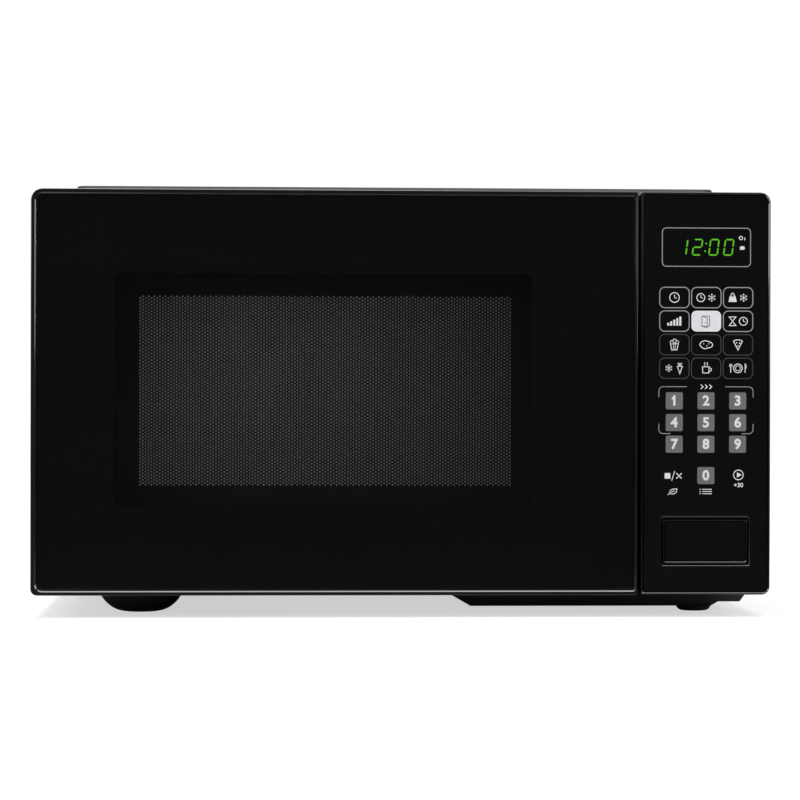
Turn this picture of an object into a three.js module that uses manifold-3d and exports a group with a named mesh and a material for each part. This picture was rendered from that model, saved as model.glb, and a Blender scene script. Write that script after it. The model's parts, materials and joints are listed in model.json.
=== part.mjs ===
// A compact countertop microwave oven with a side-hinged door, modelled as it comes apart on a bench.
// Millimetres. +X is to the user's right, +Y runs back from the door, +Z is up.
// The origin is on the table, under the middle of the oven's outline.
import * as THREE from "three";
import { mergeVertices } from "three/addons/utils/BufferGeometryUtils.js";
import Module from "manifold-3d";

const wasm = await Module();
wasm.setup();

// ---------------------------------------------------------------- driving sizes

// overall
const WIDTH = 440;
const DEPTH = 340;
const HEIGHT = 259;

// general
const SHEET = 0.8; // cabinet, cavity and base steel
const FIT = 0.3; // gap between pieces that seat on each other
const RUNNING = 0.4; // gap between pieces that move past each other
const PIVOT = 0.08; // radial play of a pin in its bore
const ROUND = 16; // facets of an ordinary round
const FEW = 8; // facets of a small hole or pin
const BITE = 0.5; // joined shapes run this far into each other
const PAST = 1; // cutting shapes run this far past what they cut

// cabinet
const FRONT_DROP = 13.5; // table to the lower edge of the door
const ROOF_RISE = 5; // raised field of the roof above the door's upper edge
const CABINET_INSET = 1.5; // cabinet side behind the edge of the door
const CABINET_BEND = 4.5;
const ROOF_MARGIN = 24; // flat strip between the cabinet side and the raised field
const ROOF_LIP = 9; // flat strip at the raised field's front and back
const ROOF_SLOPE = 6; // run of the raised field's sloping edge
const REAR_STANDOFF = 8; // domes that keep the back clear of a wall
const DOME_RADIUS = 13;
const PLATE = 1; // front plate steel

// front: door and control panel
const FRONT_DEPTH = 34; // both stand this far in front of the front plate
const DOOR_SEAL = 1; // door to front plate
const CONTROL_WIDTH = 78.2;
const SIDE_GAP = 1.6; // door to control panel
const TOP_CORNER = 7;
const LOW_CORNER = 4.8;
const MEETING_CORNER = 1.4; // corners where door and control panel meet
const EDGE_CHAMFER = 1.6;
const SHELL = 2.5; // wall of the moulded pieces

// cavity
const CAVITY_LEFT = 22; // cabinet edge to cavity, hinge side
const CAVITY_RIGHT = 112; // cabinet edge to cavity, electrics side
const CAVITY_MARGIN = 18; // door edge to cavity, above and below
const CAVITY_BACK = 20; // back of the oven to the cavity's rear wall
const WELL_DEPTH = 3; // round hollow in the floor that the rollers run in
const WELL_MARGIN = 20; // rollers' track out to the edge of the hollow

// door
const DOOR_FRAME_SETBACK = 2; // moulded frame behind the choke cover's face
const GLASS = 3;
const DOOR_GLASS_SETBACK = 0.4;
const GLASS_RIM = 2.8; // frame showing round the glass, left and top
const GLASS_RIM_LOW = 3.6;
const GLASS_RIM_RIGHT = 1.5;
const GLASS_CORNER = 4.6;
const WINDOW_WIDTH = 252;
const WINDOW_HEIGHT = 138;
const CHOKE_SETBACK = 1; // steel plate in from the moulding's back edge
const CHOKE_DEPTH = 17;
const CHOKE_LIP = 5;
const CHOKE_PITCH = 30;
const FILM = 0.6;
const HINGE_INSET = 8; // hinge axis from the door's left edge and from its back
const HINGE_PIN = 2.2;
const HINGE_PIN_LENGTH = 9;
const HINGE_TONGUE = 1.5;
const HINGE_HALF_WIDTH = 4;
const HINGE_DROP = 5; // tongue from the door's upper and lower edges

// latch and release
const HOOK_THICK = 5;
const HOOK_DEPTH = 7; // height of a hook's shank
const HOOK_REACH = 32; // shank behind the front plate
const HOOK_BARB = 4;
const HOOK_BARB_LENGTH = 6;
const HOOK_LOW = 95; // lower shank's underside above the table
const HOOK_SPACING = 80;
const SPRING_RADIUS = 2.6;
const SPRING_WIRE = 0.8;
const BUTTON_STROKE = 6;
const LEVER_DROP = 28; // lever pivot down to the button's stem
const LEVER_REACH = 23; // lever pivot back to the hook's barb
const LEVER_RISE = 13.4; // lever pivot up to the hook's barb
const LEVER_SHAFT = 3;

// control panel
const BUTTON_WIDTH = 51.5;
const BUTTON_HEIGHT = 27;
const BUTTON_CENTRE = 45.5; // above the table
const BUTTON_FRAME = 1.8;
const STEM = 3;
const DISPLAY_WIDTH = 50;
const DISPLAY_HEIGHT = 20;
const DISPLAY_DROP = 32; // door's upper edge to the display's middle
const MEMBRANE = 0.5;
const MEMBRANE_MARGIN = 4.5;
const BOARD = 1.6;

// turntable
const TRAY_MARGIN = 20; // round the tray, to the nearer walls of the cavity
const TRAY_GLASS = 4;
const TRAY_RIM = 11;
const ROLLER_RADIUS = 8;
const ROLLER_WIDTH = 7;
const RING_INSET = 38.5; // tray's edge in to the middle of the rollers' track
const RING_SECTION = 6;
const ROLLER_COUNT = 3;
const AXLE = 2;
const COUPLER_ARM = 25;
const COUPLER_HUB = 8;
const SHAFT = 3.5;
const MOTOR_RADIUS = 24.5;
const MOTOR_HEIGHT = 13;

// feet and base pan
const FOOT_LEFT = 63; // left feet from the cabinet's left edge
const FOOT_RIGHT = 37; // right feet from its right edge
const FOOT_FRONT = 60; // feet behind the door's face
const FOOT_REAR = 42;
const FOOT_STUD = 2.8;
const FOOT_SIDES = 14;
const BOWL_RADIUS = 27.5; // left feet, at the base
const BOWL_KNEE = 21; // where the sole's and the side's directions would meet
const BOWL_SOLE = 8.3;
const PAD_RADIUS = 11; // right feet, at the pan
const PAD_SOLE = 7;
const PAN_LEVEL = 3; // underside of the pan above the table
const PAN_STEP = 2.7;
const MOTOR_DISH = 5; // depth and slope of the hollow under the turntable motor
const PAN_LEFT = 192; // electrics side edge to the pan's far lip
const PAN_RIGHT = 4;
const FLANGE = 9;

// electrics
const FAN_RADIUS = 38;
const FAN_BLADES = 5;
const FAN_SHAFT = 1.6;
const FAN_DUCT = 50;
const FAN_MARGIN = 7; // blades to the side of their duct
const DUCT_WALL = 1.6;
const MICA = 0.6;
const WAVEGUIDE_DEPTH = 20;
const ANTENNA = 9;
const CAN_POST = 2.5;
const INLET_RADIUS = 7.5;

// ---------------------------------------------------------------- places

const left = -WIDTH / 2;
const right = WIDTH / 2;
const front = -DEPTH / 2;
const back = DEPTH / 2;
const sill = FRONT_DROP;
const head = HEIGHT - ROOF_RISE;
const middle = (sill + head) / 2;

const plateY = front + FRONT_DEPTH + DOOR_SEAL; // front plate's face
const plateBack = plateY + PLATE;
const rearY = back - REAR_STANDOFF; // rear panel's outer face
const cabinetX = WIDTH / 2 - CABINET_INSET;
const roof = head - 1;
const skirt = sill + 1;
const innerX = cabinetX - SHEET - FIT; // what slides inside the cabinet
const innerTop = roof - SHEET - FIT;
const baseZ = skirt + 0.2;
const baseTop = baseZ + SHEET;

const cavity = {
  x0: left + CAVITY_LEFT,
  x1: right - CAVITY_RIGHT,
  y0: plateBack + FIT,
  y1: back - CAVITY_BACK,
  z0: sill + CAVITY_MARGIN,
  z1: head - CAVITY_MARGIN,
};
const spin = new THREE.Vector2((cavity.x0 + cavity.x1) / 2, (plateY + cavity.y1) / 2);
const wellZ = cavity.z0 - WELL_DEPTH;
const trayRadius = Math.min(cavity.x1 - cavity.x0, cavity.y1 - plateY) / 2 - TRAY_MARGIN;
const ringRadius = trayRadius - RING_INSET;
const wellRadius = ringRadius + WELL_MARGIN;

const doorRight = right - CONTROL_WIDTH - SIDE_GAP;
const doorBack = plateY - DOOR_SEAL - DOOR_FRAME_SETBACK;
const hinge = new THREE.Vector2(left + HINGE_INSET, doorBack - HINGE_INSET);
const hingeZ = [sill + HINGE_DROP, head - HINGE_DROP];
const windowX = spin.x;
const windowZ = middle + 2;

const hookX = doorRight - SHELL - 2.2 - HOOK_THICK; // hook's near side
const hookTip = plateBack + HOOK_REACH;
const hooks = [HOOK_LOW, HOOK_LOW + HOOK_SPACING]; // undersides of the shanks
const lever = { y: hookTip - HOOK_BARB_LENGTH / 2 - LEVER_REACH, z: HOOK_LOW - HOOK_BARB - LEVER_RISE };
const stemZ = lever.z - LEVER_DROP;
const hookLift = (BUTTON_STROKE * LEVER_REACH) / LEVER_DROP;
// furthest right that the hook's tip swings as the door opens
const hookSwing =
  hinge.x + Math.hypot(hookX + HOOK_THICK - hinge.x, hookTip - hinge.y) + RUNNING;

const panelLeft = right - CONTROL_WIDTH;
const panelX = (panelLeft + right) / 2;
const stemX = panelX - BUTTON_WIDTH / 2 + 6;

const sideX = cavity.x1 + SHEET + FIT; // what is fixed to the cavity's right side starts here
const guide = { y0: spin.y - 48, y1: spin.y + 38, z0: middle - 4, z1: middle + 68 };
const guideLip = 5; // flange that is spot-welded to the cavity
const port = { y0: guide.y0 + 4, y1: guide.y0 + 32, z0: guide.z0 + 6, z1: guide.z1 - 6 };
const tube = {
  x: sideX + WAVEGUIDE_DEPTH + FIT,
  y: guide.y1 - 22,
  z: (guide.z0 + guide.z1) / 2,
};
const fan = {
  x: (sideX + innerX) / 2,
  z: head - 74,
  y0: rearY - SHEET - FIT - FAN_DUCT,
  y1: rearY - SHEET - FIT,
};
// midway between the waveguide and the fan duct
const lamp = { y: (guide.y1 + guideLip + fan.y0) / 2, z: cavity.z1 - 34 };
const inlet = { x: right - 30, z: sill + 36 };
const panTop = PAN_LEVEL + SHEET + FIT;

// ---------------------------------------------------------------- solids

function toSolid(geometry) {
  const bare = new THREE.BufferGeometry().setAttribute(
    "position",
    (geometry.index ? geometry.toNonIndexed() : geometry).getAttribute("position"),
  );
  const merged = mergeVertices(bare, 1e-4);
  const build = (triVerts) =>
    new wasm.Manifold(
      new wasm.Mesh({ numProp: 3, vertProperties: merged.attributes.position.array, triVerts }),
    );
  const faces = Uint32Array.from(merged.index.array);
  const solid = build(faces);
  if (solid.volume() > 0) return solid;
  for (let i = 0; i < faces.length; i += 3) faces.subarray(i + 1, i + 3).reverse();
  return build(faces);
}

function toGeometry(solid) {
  const { numProp, vertProperties, triVerts } = solid.getMesh();
  const position = new Float32Array((vertProperties.length / numProp) * 3);
  for (let i = 0; i < position.length / 3; i++)
    position.set(vertProperties.subarray(i * numProp, i * numProp + 3), i * 3);
  const geometry = new THREE.BufferGeometry()
    .setAttribute("position", new THREE.BufferAttribute(position, 3))
    .setIndex(new THREE.BufferAttribute(triVerts, 1));
  geometry.computeVertexNormals();
  return geometry;
}

const join = (...solids) => solids.flat().reduce((a, b) => a.add(b));
const cut = (solid, ...tools) => tools.flat().reduce((a, b) => a.subtract(b), solid);
const range = (count) => Array.from({ length: count }, (_, i) => i);

function box(x0, x1, y0, y1, z0, z1) {
  const geometry = new THREE.BoxGeometry(x1 - x0, y1 - y0, z1 - z0);
  geometry.translate((x0 + x1) / 2, (y0 + y1) / 2, (z0 + z1) / 2);
  return toSolid(geometry);
}

// The outline's own x and y go to the first two of these axes, and its thickness to the third.
const AXES = {
  X: new THREE.Matrix4().set(0, 0, 1, 0, 1, 0, 0, 0, 0, 1, 0, 0, 0, 0, 0, 1),
  Y: new THREE.Matrix4().set(1, 0, 0, 0, 0, 0, 1, 0, 0, 1, 0, 0, 0, 0, 0, 1),
  Z: new THREE.Matrix4(),
};

// A copy of a solid turned about an axis through the origin, then moved.
function placed(solid, [x, y, z], axis = "Z", angle = 0) {
  const matrix = new THREE.Matrix4();
  matrix.makeRotationAxis(new THREE.Vector3(+(axis === "X"), +(axis === "Y"), +(axis === "Z")), angle);
  matrix.setPosition(x, y, z);
  return toSolid(toGeometry(solid).applyMatrix4(matrix));
}

// An outline swept straight along an axis, between two places on it.
function prism(axis, outline, from, to, curveSegments = 1) {
  const geometry = new THREE.ExtrudeGeometry(outline, {
    depth: to - from,
    bevelEnabled: false,
    curveSegments,
  });
  geometry.translate(0, 0, from);
  return toSolid(geometry.applyMatrix4(AXES[axis]));
}

// A cylinder along an axis, centred on a point given in the other two axes' order.
function rod(axis, a, b, radius, from, to, sides = ROUND) {
  const outline = new THREE.Shape().absarc(a, b, radius, 0, 2 * Math.PI);
  return prism(axis, outline, from, to, sides / 2);
}

function polygon(points) {
  return new THREE.Shape(points.map(([x, y]) => new THREE.Vector2(x, y)));
}

// A rectangle with a radius for each corner, from lower left anticlockwise.
function roundedRect(x0, y0, x1, y1, radii) {
  const [a, b, c, d] = Array.isArray(radii) ? radii : [radii, radii, radii, radii];
  const shape = new THREE.Shape();
  const arc = (x, y, r, quarter) => {
    const start = quarter * (Math.PI / 2);
    if (r > 0) shape.absarc(x, y, r, start, start + Math.PI / 2, false);
    else shape.lineTo(x, y);
  };
  shape.moveTo(x0, y0 + a);
  arc(x0 + a, y0 + a, a, 2);
  arc(x1 - b, y0 + b, b, 3);
  arc(x1 - c, y1 - c, c, 0);
  arc(x0 + d, y1 - d, d, 1);
  return shape;
}

// A closed skin through outlines of equal point counts, each at its own level along an axis.
function loft(axis, sections, curveSegments = 2) {
  const rings = sections.map(([outline, level]) => {
    const points = outline.getPoints(curveSegments);
    if (points[0].distanceTo(points.at(-1)) < 1e-6) points.pop();
    return points.map((p) => new THREE.Vector3(p.x, p.y, level).applyMatrix4(AXES[axis]));
  });
  const count = rings[0].length;
  const faces = [];
  rings.slice(1).forEach((ring, i) => {
    for (let j = 0; j < count; j++) {
      const k = (j + 1) % count;
      faces.push(rings[i][j], rings[i][k], ring[k], rings[i][j], ring[k], ring[j]);
    }
  });
  const caps = [sections[0], sections.at(-1)].map(([outline]) => {
    const points = outline.getPoints(curveSegments);
    if (points[0].distanceTo(points.at(-1)) < 1e-6) points.pop();
    return THREE.ShapeUtils.triangulateShape(points, []);
  });
  caps[0].forEach(([a, b, c]) => faces.push(rings[0][a], rings[0][c], rings[0][b]));
  caps[1].forEach(([a, b, c]) => faces.push(rings.at(-1)[a], rings.at(-1)[b], rings.at(-1)[c]));
  return toSolid(new THREE.BufferGeometry().setFromPoints(faces));
}

// A profile of [radius, height] points turned about an axis through the origin.
function turned(profile, sides = ROUND, axis = "Z") {
  const points = profile.map(([r, height]) => new THREE.Vector2(r, height));
  const geometry = new THREE.LatheGeometry(points, sides);
  if (axis === "Z") geometry.rotateX(Math.PI / 2);
  if (axis === "X") geometry.rotateZ(-Math.PI / 2);
  return toSolid(geometry);
}

class Helix extends THREE.Curve {
  constructor(radius, turns, length) {
    super();
    Object.assign(this, { radius, turns, length });
  }
  getPoint(t, target = new THREE.Vector3()) {
    const angle = t * this.turns * 2 * Math.PI;
    return target.set(this.radius * Math.cos(angle), this.radius * Math.sin(angle), t * this.length);
  }
}

// A wound wire along +Z, starting at the origin.
function coil(radius, wire, turns, length) {
  const section = new THREE.Shape().absarc(0, 0, wire / 2, 0, 2 * Math.PI);
  const extrudePath = new Helix(radius, turns, length);
  const steps = turns * 7;
  return toSolid(new THREE.ExtrudeGeometry(section, { extrudePath, steps, curveSegments: 2 }));
}

// Equal boxes in rows and columns: each is centred on (a, b) and cut along the third axis.
function grille(axis, [a0, b0], [stepA, stepB], [columns, rows], [sizeA, sizeB], from, to) {
  return range(columns).flatMap((i) =>
    range(rows).map((j) => {
      const a = a0 + i * stepA;
      const b = b0 + j * stepB;
      const slot = polygon([
        [a - sizeA / 2, b - sizeB / 2],
        [a + sizeA / 2, b - sizeB / 2],
        [a + sizeA / 2, b + sizeB / 2],
        [a - sizeA / 2, b + sizeB / 2],
      ]);
      return prism(axis, slot, from, to);
    }),
  );
}

// ---------------------------------------------------------------- materials

const finish = (color, roughness, metalness = 0, extra = {}) => ({
  color,
  roughness,
  metalness,
  ...extra,
});
const FINISH = {
  blackPaint: finish(0x0d0d0e, 0.42, 0.1),
  blackGloss: finish(0x060607, 0.16),
  blackPlastic: finish(0x111112, 0.35),
  cavityPaint: finish(0xb9bab8, 0.45),
  zinc: finish(0x9a9da0, 0.4, 0.8),
  steel: finish(0xa7a9ab, 0.35, 0.9),
  screenPaint: finish(0x141414, 0.6, 0.3),
  glass: finish(0x9fb0a8, 0.08, 0, { transparent: true, opacity: 0.4 }),
  darkGlass: finish(0x08090a, 0.05, 0, { transparent: true, opacity: 0.9 }),
  whitePlastic: finish(0xe6e4dc, 0.5),
  greyPlastic: finish(0x6c6e70, 0.5),
  rubber: finish(0x0b0b0b, 0.85),
  copper: finish(0xa0522d, 0.45, 0.4),
  circuit: finish(0x2c5a34, 0.6),
  mica: finish(0xb3a68c, 0.8),
};

function mesh(name, solid, look) {
  const made = new THREE.Mesh(toGeometry(solid), new THREE.MeshStandardMaterial(FINISH[look]));
  made.name = name;
  return made;
}

// ---------------------------------------------------------------- cabinet

const oven = new THREE.Group();
oven.name = "microwave_oven";

// The wrapper: one sheet bent over both sides and the top, with a raised field pressed into its roof.
function outerCabinet() {
  const section = (gap, bend) =>
    roundedRect(-cabinetX + gap, 0, cabinetX - gap, roof - gap, [0, 0, bend, bend]);
  const raised = (drop) => {
    const half = cabinetX - ROOF_MARGIN;
    const y0 = plateY + ROOF_LIP;
    const y1 = rearY - ROOF_LIP;
    const s = ROOF_SLOPE;
    return loft("Z", [
      [roundedRect(-half, y0, half, y1, 2 * s), roof - SHEET - drop],
      [roundedRect(-half + s, y0 + s, half - s, y1 - s, s), HEIGHT - drop],
    ]);
  };
  const shell = cut(
    prism("Y", section(0, CABINET_BEND), plateY, rearY, 2),
    prism("Y", section(SHEET, CABINET_BEND - SHEET), plateY - PAST, rearY + PAST, 2),
    box(left, right, front, back, -PAST, skirt),
  );
  const wall = [cabinetX - CABINET_BEND, cabinetX + PAST];
  const intake = grille("X", [rearY - 106, middle - 28], [46, 10], [2, 7], [38, 4], ...wall);
  const exhaust = grille("X", [rearY - 90, head - 86], [46, 10], [2, 4], [38, 4], -wall[1], -wall[0]);
  return cut(shell.add(raised(0)), raised(SHEET), intake, exhaust);
}
oven.add(mesh("outer_cabinet", outerCabinet(), "blackPaint"));

// A turned-up or turned-in rim round a rectangle, as bent from the same sheet.
function rim(x0, x1, y0, y1, z0, z1, t) {
  return cut(box(x0, x1, y0, y1, z0, z1), box(x0 + t, x1 - t, y0 + t, y1 - t, z0 - 1, z1 + 1));
}

const feet = {
  front: front + FOOT_FRONT,
  rear: rearY - FOOT_REAR,
  left: left + FOOT_LEFT,
  right: right - FOOT_RIGHT,
};
const pan = {
  x0: right - PAN_LEFT,
  step: feet.right + 10, // where the pan rises towards its outer edge
  x1: right - PAN_RIGHT,
  y0: plateBack + 8,
  y1: rearY - 16,
  slope: 11, // run of its front, back and outer sides
  lead: 19, // run of its long side towards the turntable
};

// The hollow that the base's pan is pressed to: deep under the transformer, shallower at the outer edge.
function panHollow(lift) {
  const { x0, step, x1, y0, y1, slope, lead } = pan;
  const z = PAN_LEVEL + lift;
  const top = baseTop + lift;
  const across = polygon([
    [x0, top],
    [x0 + lead, z],
    [step, z],
    [step + PAN_STEP * 1.5, z + PAN_STEP],
    [x1 - slope / 2, z + PAN_STEP],
    [x1, top],
  ]);
  const along = polygon([
    [y0, top],
    [y0 + slope, z - PAST],
    [y1 - slope, z - PAST],
    [y1, top],
  ]);
  return prism("Y", across, y0 - PAST, y1 + PAST).intersect(prism("X", along, x0 - PAST, x1 + PAST));
}

function basePlate() {
  const y0 = plateBack + FIT;
  const y1 = rearY - SHEET - FIT;
  // the shallow dish that the turntable motor hangs in
  const dish = (lift) =>
    placed(
      turned([
        [0, baseZ - MOTOR_DISH + lift],
        [MOTOR_RADIUS + MOTOR_DISH, baseZ - MOTOR_DISH + lift],
        [MOTOR_RADIUS + 2 * MOTOR_DISH, baseTop + lift],
        [0, baseTop + lift],
      ]),
      [spin.x, spin.y, 0],
    );
  const studs = [feet.left, feet.right].flatMap((x) =>
    [feet.front, feet.rear].map((y) => rod("Z", x, y, FOOT_STUD + FIT, 0, baseTop + PAST, FEW)),
  );
  const vents = grille("Z", [sideX + 25, pan.y1 - 30], [12, -34], [4, 2], [4, 24], 0, panTop);
  const hingeX = HINGE_HALF_WIDTH + PAST;
  return cut(
    join(
      box(-innerX, innerX, y0, y1, baseZ, baseTop),
      rim(-innerX, innerX, y0, y1, baseZ, baseZ + FLANGE, SHEET),
      panHollow(0),
      dish(0),
    ),
    panHollow(SHEET),
    dish(SHEET),
    studs,
    vents,
    box(hinge.x - hingeX, hinge.x + hingeX, y0 - PAST, y0 + 4, baseTop, HEIGHT),
  );
}
oven.add(mesh("base_plate", basePlate(), "zinc"));

// Push-in feet: a wide bowl under the flat of the base, a low pad under its pan.
function foot(profile, seat) {
  const grip = seat + SHEET + 2 * FIT;
  const barb = 1.8;
  return turned(
    [
      [0, 0],
      ...profile,
      [FOOT_STUD, seat - FIT],
      [FOOT_STUD, grip],
      [FOOT_STUD + barb, grip],
      [FOOT_STUD, grip + 3],
      [0, grip + 3],
    ],
    FOOT_SIDES,
  );
}
// a bowl's side: a curve that leaves the sole flat and flares to the base
const bowlSide = new THREE.QuadraticBezierCurve(
  new THREE.Vector2(BOWL_SOLE, 0),
  new THREE.Vector2(BOWL_KNEE, 0),
  new THREE.Vector2(BOWL_RADIUS, baseZ - FIT),
);
const bowl = foot(bowlSide.getPoints(4).map((p) => p.toArray()), baseZ);
const pad = foot([[PAD_SOLE, 0], [PAD_RADIUS, PAN_LEVEL - FIT]], PAN_LEVEL);
for (const end of ["front", "rear"])
  for (const side of ["left", "right"]) {
    const made = mesh(`foot_${end}_${side}`, side === "left" ? bowl : pad, "rubber");
    made.position.set(feet[side], feet[end], 0);
    oven.add(made);
  }

// The outline that the rear panel and the front plate share, and the height where their side flanges start.
const facingOutline = (gap) => {
  const bend = CABINET_BEND - SHEET - FIT - gap;
  return roundedRect(-innerX + gap, baseZ, innerX - gap, innerTop - gap, [0, 0, bend, bend]);
};
const flangeLow = baseZ + FLANGE + FIT;

function rearPanel() {
  const y0 = rearY - SHEET;
  const flange = cut(
    prism("Y", facingOutline(0), y0 - FLANGE, rearY, 2),
    prism("Y", facingOutline(SHEET), y0 - FLANGE - PAST, y0, 2),
    box(left, right, y0 - FLANGE - PAST, y0, 0, flangeLow),
  );
  const circle = (x, z, radius) => new THREE.Shape().absarc(x, z, radius, 0, 2 * Math.PI);
  const dome = (x, z, lift) =>
    loft(
      "Y",
      [
        [circle(x, z, DOME_RADIUS), y0 - lift],
        [circle(x, z, DOME_RADIUS - 5), back - lift],
      ],
      6,
    );
  const inset = DOME_RADIUS + 21;
  const domes = [
    [-innerX + inset, head - 40],
    [innerX - inset, head - 40],
    [-innerX + inset, sill + 62],
  ];
  const through = [y0 - PAST, rearY + PAST];
  const intake = grille("Y", [fan.x - 19, fan.z - 30], [38, 10], [2, 7], [32, 4.5], ...through);
  const outlet = grille("Y", [left + 98, head - 34], [38, 10], [2, 2], [32, 4.5], ...through);
  return cut(
    join(flange, ...domes.map(([x, z]) => dome(x, z, 0))),
    domes.map(([x, z]) => dome(x, z, SHEET)),
    intake,
    outlet,
    rod("Y", inlet.x, inlet.z, INLET_RADIUS, ...through, 12),
  );
}

oven.add(mesh("rear_panel", rearPanel(), "zinc"));

// The cavity's face: a steel plate right across the oven, with openings for the cavity, hooks and stem.
function frontPlate() {
  const tray = cut(
    prism("Y", facingOutline(0), plateY, plateY + FLANGE, 2),
    prism("Y", facingOutline(PLATE), plateBack, plateY + FLANGE + PAST, 2),
    box(left, right, plateBack, plateY + FLANGE + PAST, 0, flangeLow),
  );
  const through = (x0, x1, z0, z1) => box(x0, x1, plateY - PAST, plateBack + FIT / 2, z0, z1);
  const slots = hooks.map((z) =>
    through(hookX - PAST, hookSwing, z - HOOK_BARB - PAST, z + HOOK_DEPTH + hookLift + PAST),
  );
  const reachX = HINGE_HALF_WIDTH + FIT;
  const reachZ = HINGE_TONGUE / 2 + FIT;
  const tongues = hingeZ.map((z) =>
    through(hinge.x - reachX, hinge.x + reachX, z - reachZ, z + reachZ),
  );
  const wiring = { x0: panelX + 8, x1: panelX + 24, z0: head - 110, z1: head - 60 };
  const stemHole = STEM + 2;
  return cut(
    tray,
    through(cavity.x0, cavity.x1, cavity.z0, cavity.z1),
    slots,
    tongues,
    through(stemX - stemHole, stemX + stemHole, stemZ - stemHole, stemZ + stemHole),
    through(wiring.x0, wiring.x1, wiring.z0, wiring.z1),
  );
}
oven.add(mesh("front_plate", frontPlate(), "blackPaint"));

// ---------------------------------------------------------------- cavity

function cavityShell() {
  const { x0, x1, y0, y1, z0, z1 } = cavity;
  const corner = 5;
  const room = (grow) =>
    prism("Y", roundedRect(x0 - grow, z0 - grow, x1 + grow, z1 + grow, corner + grow), y0, y1 + grow);
  const inside = prism("Y", roundedRect(x0, z0, x1, z1, corner), y0 - PAST, y1);
  const well = (drop, top) =>
    placed(
      turned(
        [
          [0, wellZ - drop],
          [wellRadius, wellZ - drop],
          [wellRadius + WELL_DEPTH, top],
          [0, top],
        ],
        30,
      ),
      [spin.x, spin.y, 0],
    );
  const wall = [x1 - PAST, x1 + SHEET + PAST];
  const lampVents = grille("X", [lamp.y - 9, lamp.z - 6], [6, 12], [4, 2], [3.5, 8], ...wall);
  const shaft = COUPLER_HUB + RUNNING;
  return cut(
    join(room(SHEET), well(SHEET, z0 - SHEET / 2)),
    inside,
    well(0, z0 + PAST),
    rod("Z", spin.x, spin.y, shaft, wellZ - SHEET - PAST, wellZ + PAST, 16),
    box(...wall, port.y0, port.y1, port.z0, port.z1),
    lampVents,
  );
}
oven.add(mesh("cavity", cavityShell(), "cavityPaint"));

// The mica sheet that keeps grease out of the waveguide, held just off the cavity wall.
function waveguideCover() {
  const side = 12;
  const end = 5;
  const outline = roundedRect(port.y0 - side, port.z0 - end, port.y1 + side, port.z1 + end, 6);
  return prism("X", outline, cavity.x1 - FIT - MICA, cavity.x1 - FIT);
}
oven.add(mesh("waveguide_cover", waveguideCover(), "mica"));

// ---------------------------------------------------------------- microwave source

// A pressed duct that opens on the cavity's port and takes the magnetron's antenna at its far end.
function waveguide() {
  const end = sideX + WAVEGUIDE_DEPTH;
  const section = (inset) =>
    roundedRect(guide.y0 + inset, guide.z0 + inset, guide.y1 - inset, guide.z1 - inset, 4);
  return cut(
    join(prism("X", section(0), sideX, end), prism("X", section(-guideLip), sideX, sideX + SHEET)),
    prism("X", section(SHEET), sideX - PAST, end - SHEET),
    rod("X", tube.y, tube.z, ANTENNA + 3, sideX, end + PAST),
  );
}
oven.add(mesh("waveguide", waveguide(), "zinc"));

// Yoke, magnets, finned anode, filter box and connector, with the antenna pointing into the waveguide.
function magnetron() {
  const { x, y, z } = tube;
  const yoke = { depth: 56, halfY: 38, halfZ: 34, steel: 2 };
  const magnet = { radius: 27, thick: 11 };
  const anode = 18;
  const fin = { count: 6, pitch: 5, thick: 0.8 };
  const end = x + yoke.depth;
  const plate = (x0, x1, halfY, halfZ) => box(x0, x1, y - halfY, y + halfY, z - halfZ, z + halfZ);
  const finStart = x + (yoke.depth - (fin.count - 1) * fin.pitch - fin.thick) / 2;
  const fins = range(fin.count).map((i) => {
    const at = finStart + i * fin.pitch;
    return plate(at, at + fin.thick, yoke.halfY - 5, yoke.halfZ - 1);
  });
  return join(
    prism("X", roundedRect(y - 46, z - 38, y + 46, z + 38, 4), x, x + yoke.steel),
    cut(
      plate(x, end, yoke.halfY, yoke.halfZ),
      plate(x + yoke.steel, end - yoke.steel, yoke.halfY + PAST, yoke.halfZ - yoke.steel),
    ),
    rod("X", y, z, magnet.radius, x + PAST, x + PAST + magnet.thick, 16),
    rod("X", y, z, magnet.radius, end - PAST - magnet.thick, end - PAST, 16),
    rod("X", y, z, anode, x + PAST, end, 12),
    fins,
    plate(end - BITE, end + 22, 34, 29), // filter box
    box(end + 5, end + 17, y - 9, y + 9, z - 44, z - 28), // its connector
    rod("X", y, z, ANTENNA, x - 10, x + PAST, 12),
    rod("X", y, z, ANTENNA - 2, x - WAVEGUIDE_DEPTH + 4, x - 10 + BITE, 12),
  );
}
oven.add(mesh("magnetron", magnetron(), "steel"));

// The transformer stands on the pan ahead of the rear foot.
// Its E and I plates leave two windows for the windings.
const core = { width: 70, height: 64, stack: 46, leg: 26, slot: 10, foot: 9, sole: 1.5 };
core.x = sideX + core.width / 2 + 2;
core.y = feet.rear - core.stack / 2 - 23;
core.z0 = panTop + core.sole;
core.window = core.height - core.leg;

function transformerCore() {
  const { x, y, z0, width, height, stack, leg, slot, foot, sole } = core;
  const sides = [-1, 1];
  const window = (side) => {
    const at = x + (side * (leg + slot)) / 2;
    const low = z0 + leg / 2;
    return box(at - slot / 2, at + slot / 2, y - stack, y + stack, low, z0 + height - leg / 2);
  };
  const bolt = (side, end) => {
    const at = [x + side * (width + foot + 1) / 2, y + end * (stack / 2 - 7)];
    return rod("Z", ...at, 2.2, 0, z0 + PAST, FEW);
  };
  const half = width / 2;
  return join(
    cut(box(x - half, x + half, y - stack / 2, y + stack / 2, z0, z0 + height), sides.map(window)),
    cut(
      box(x - half - foot, x + half + foot, y - stack / 2, y + stack / 2, panTop, panTop + sole + 0.1),
      sides.flatMap((side) => sides.map((end) => bolt(side, end))),
    ),
  );
}
oven.add(mesh("transformer_core", transformerCore(), "steel"));

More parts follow.
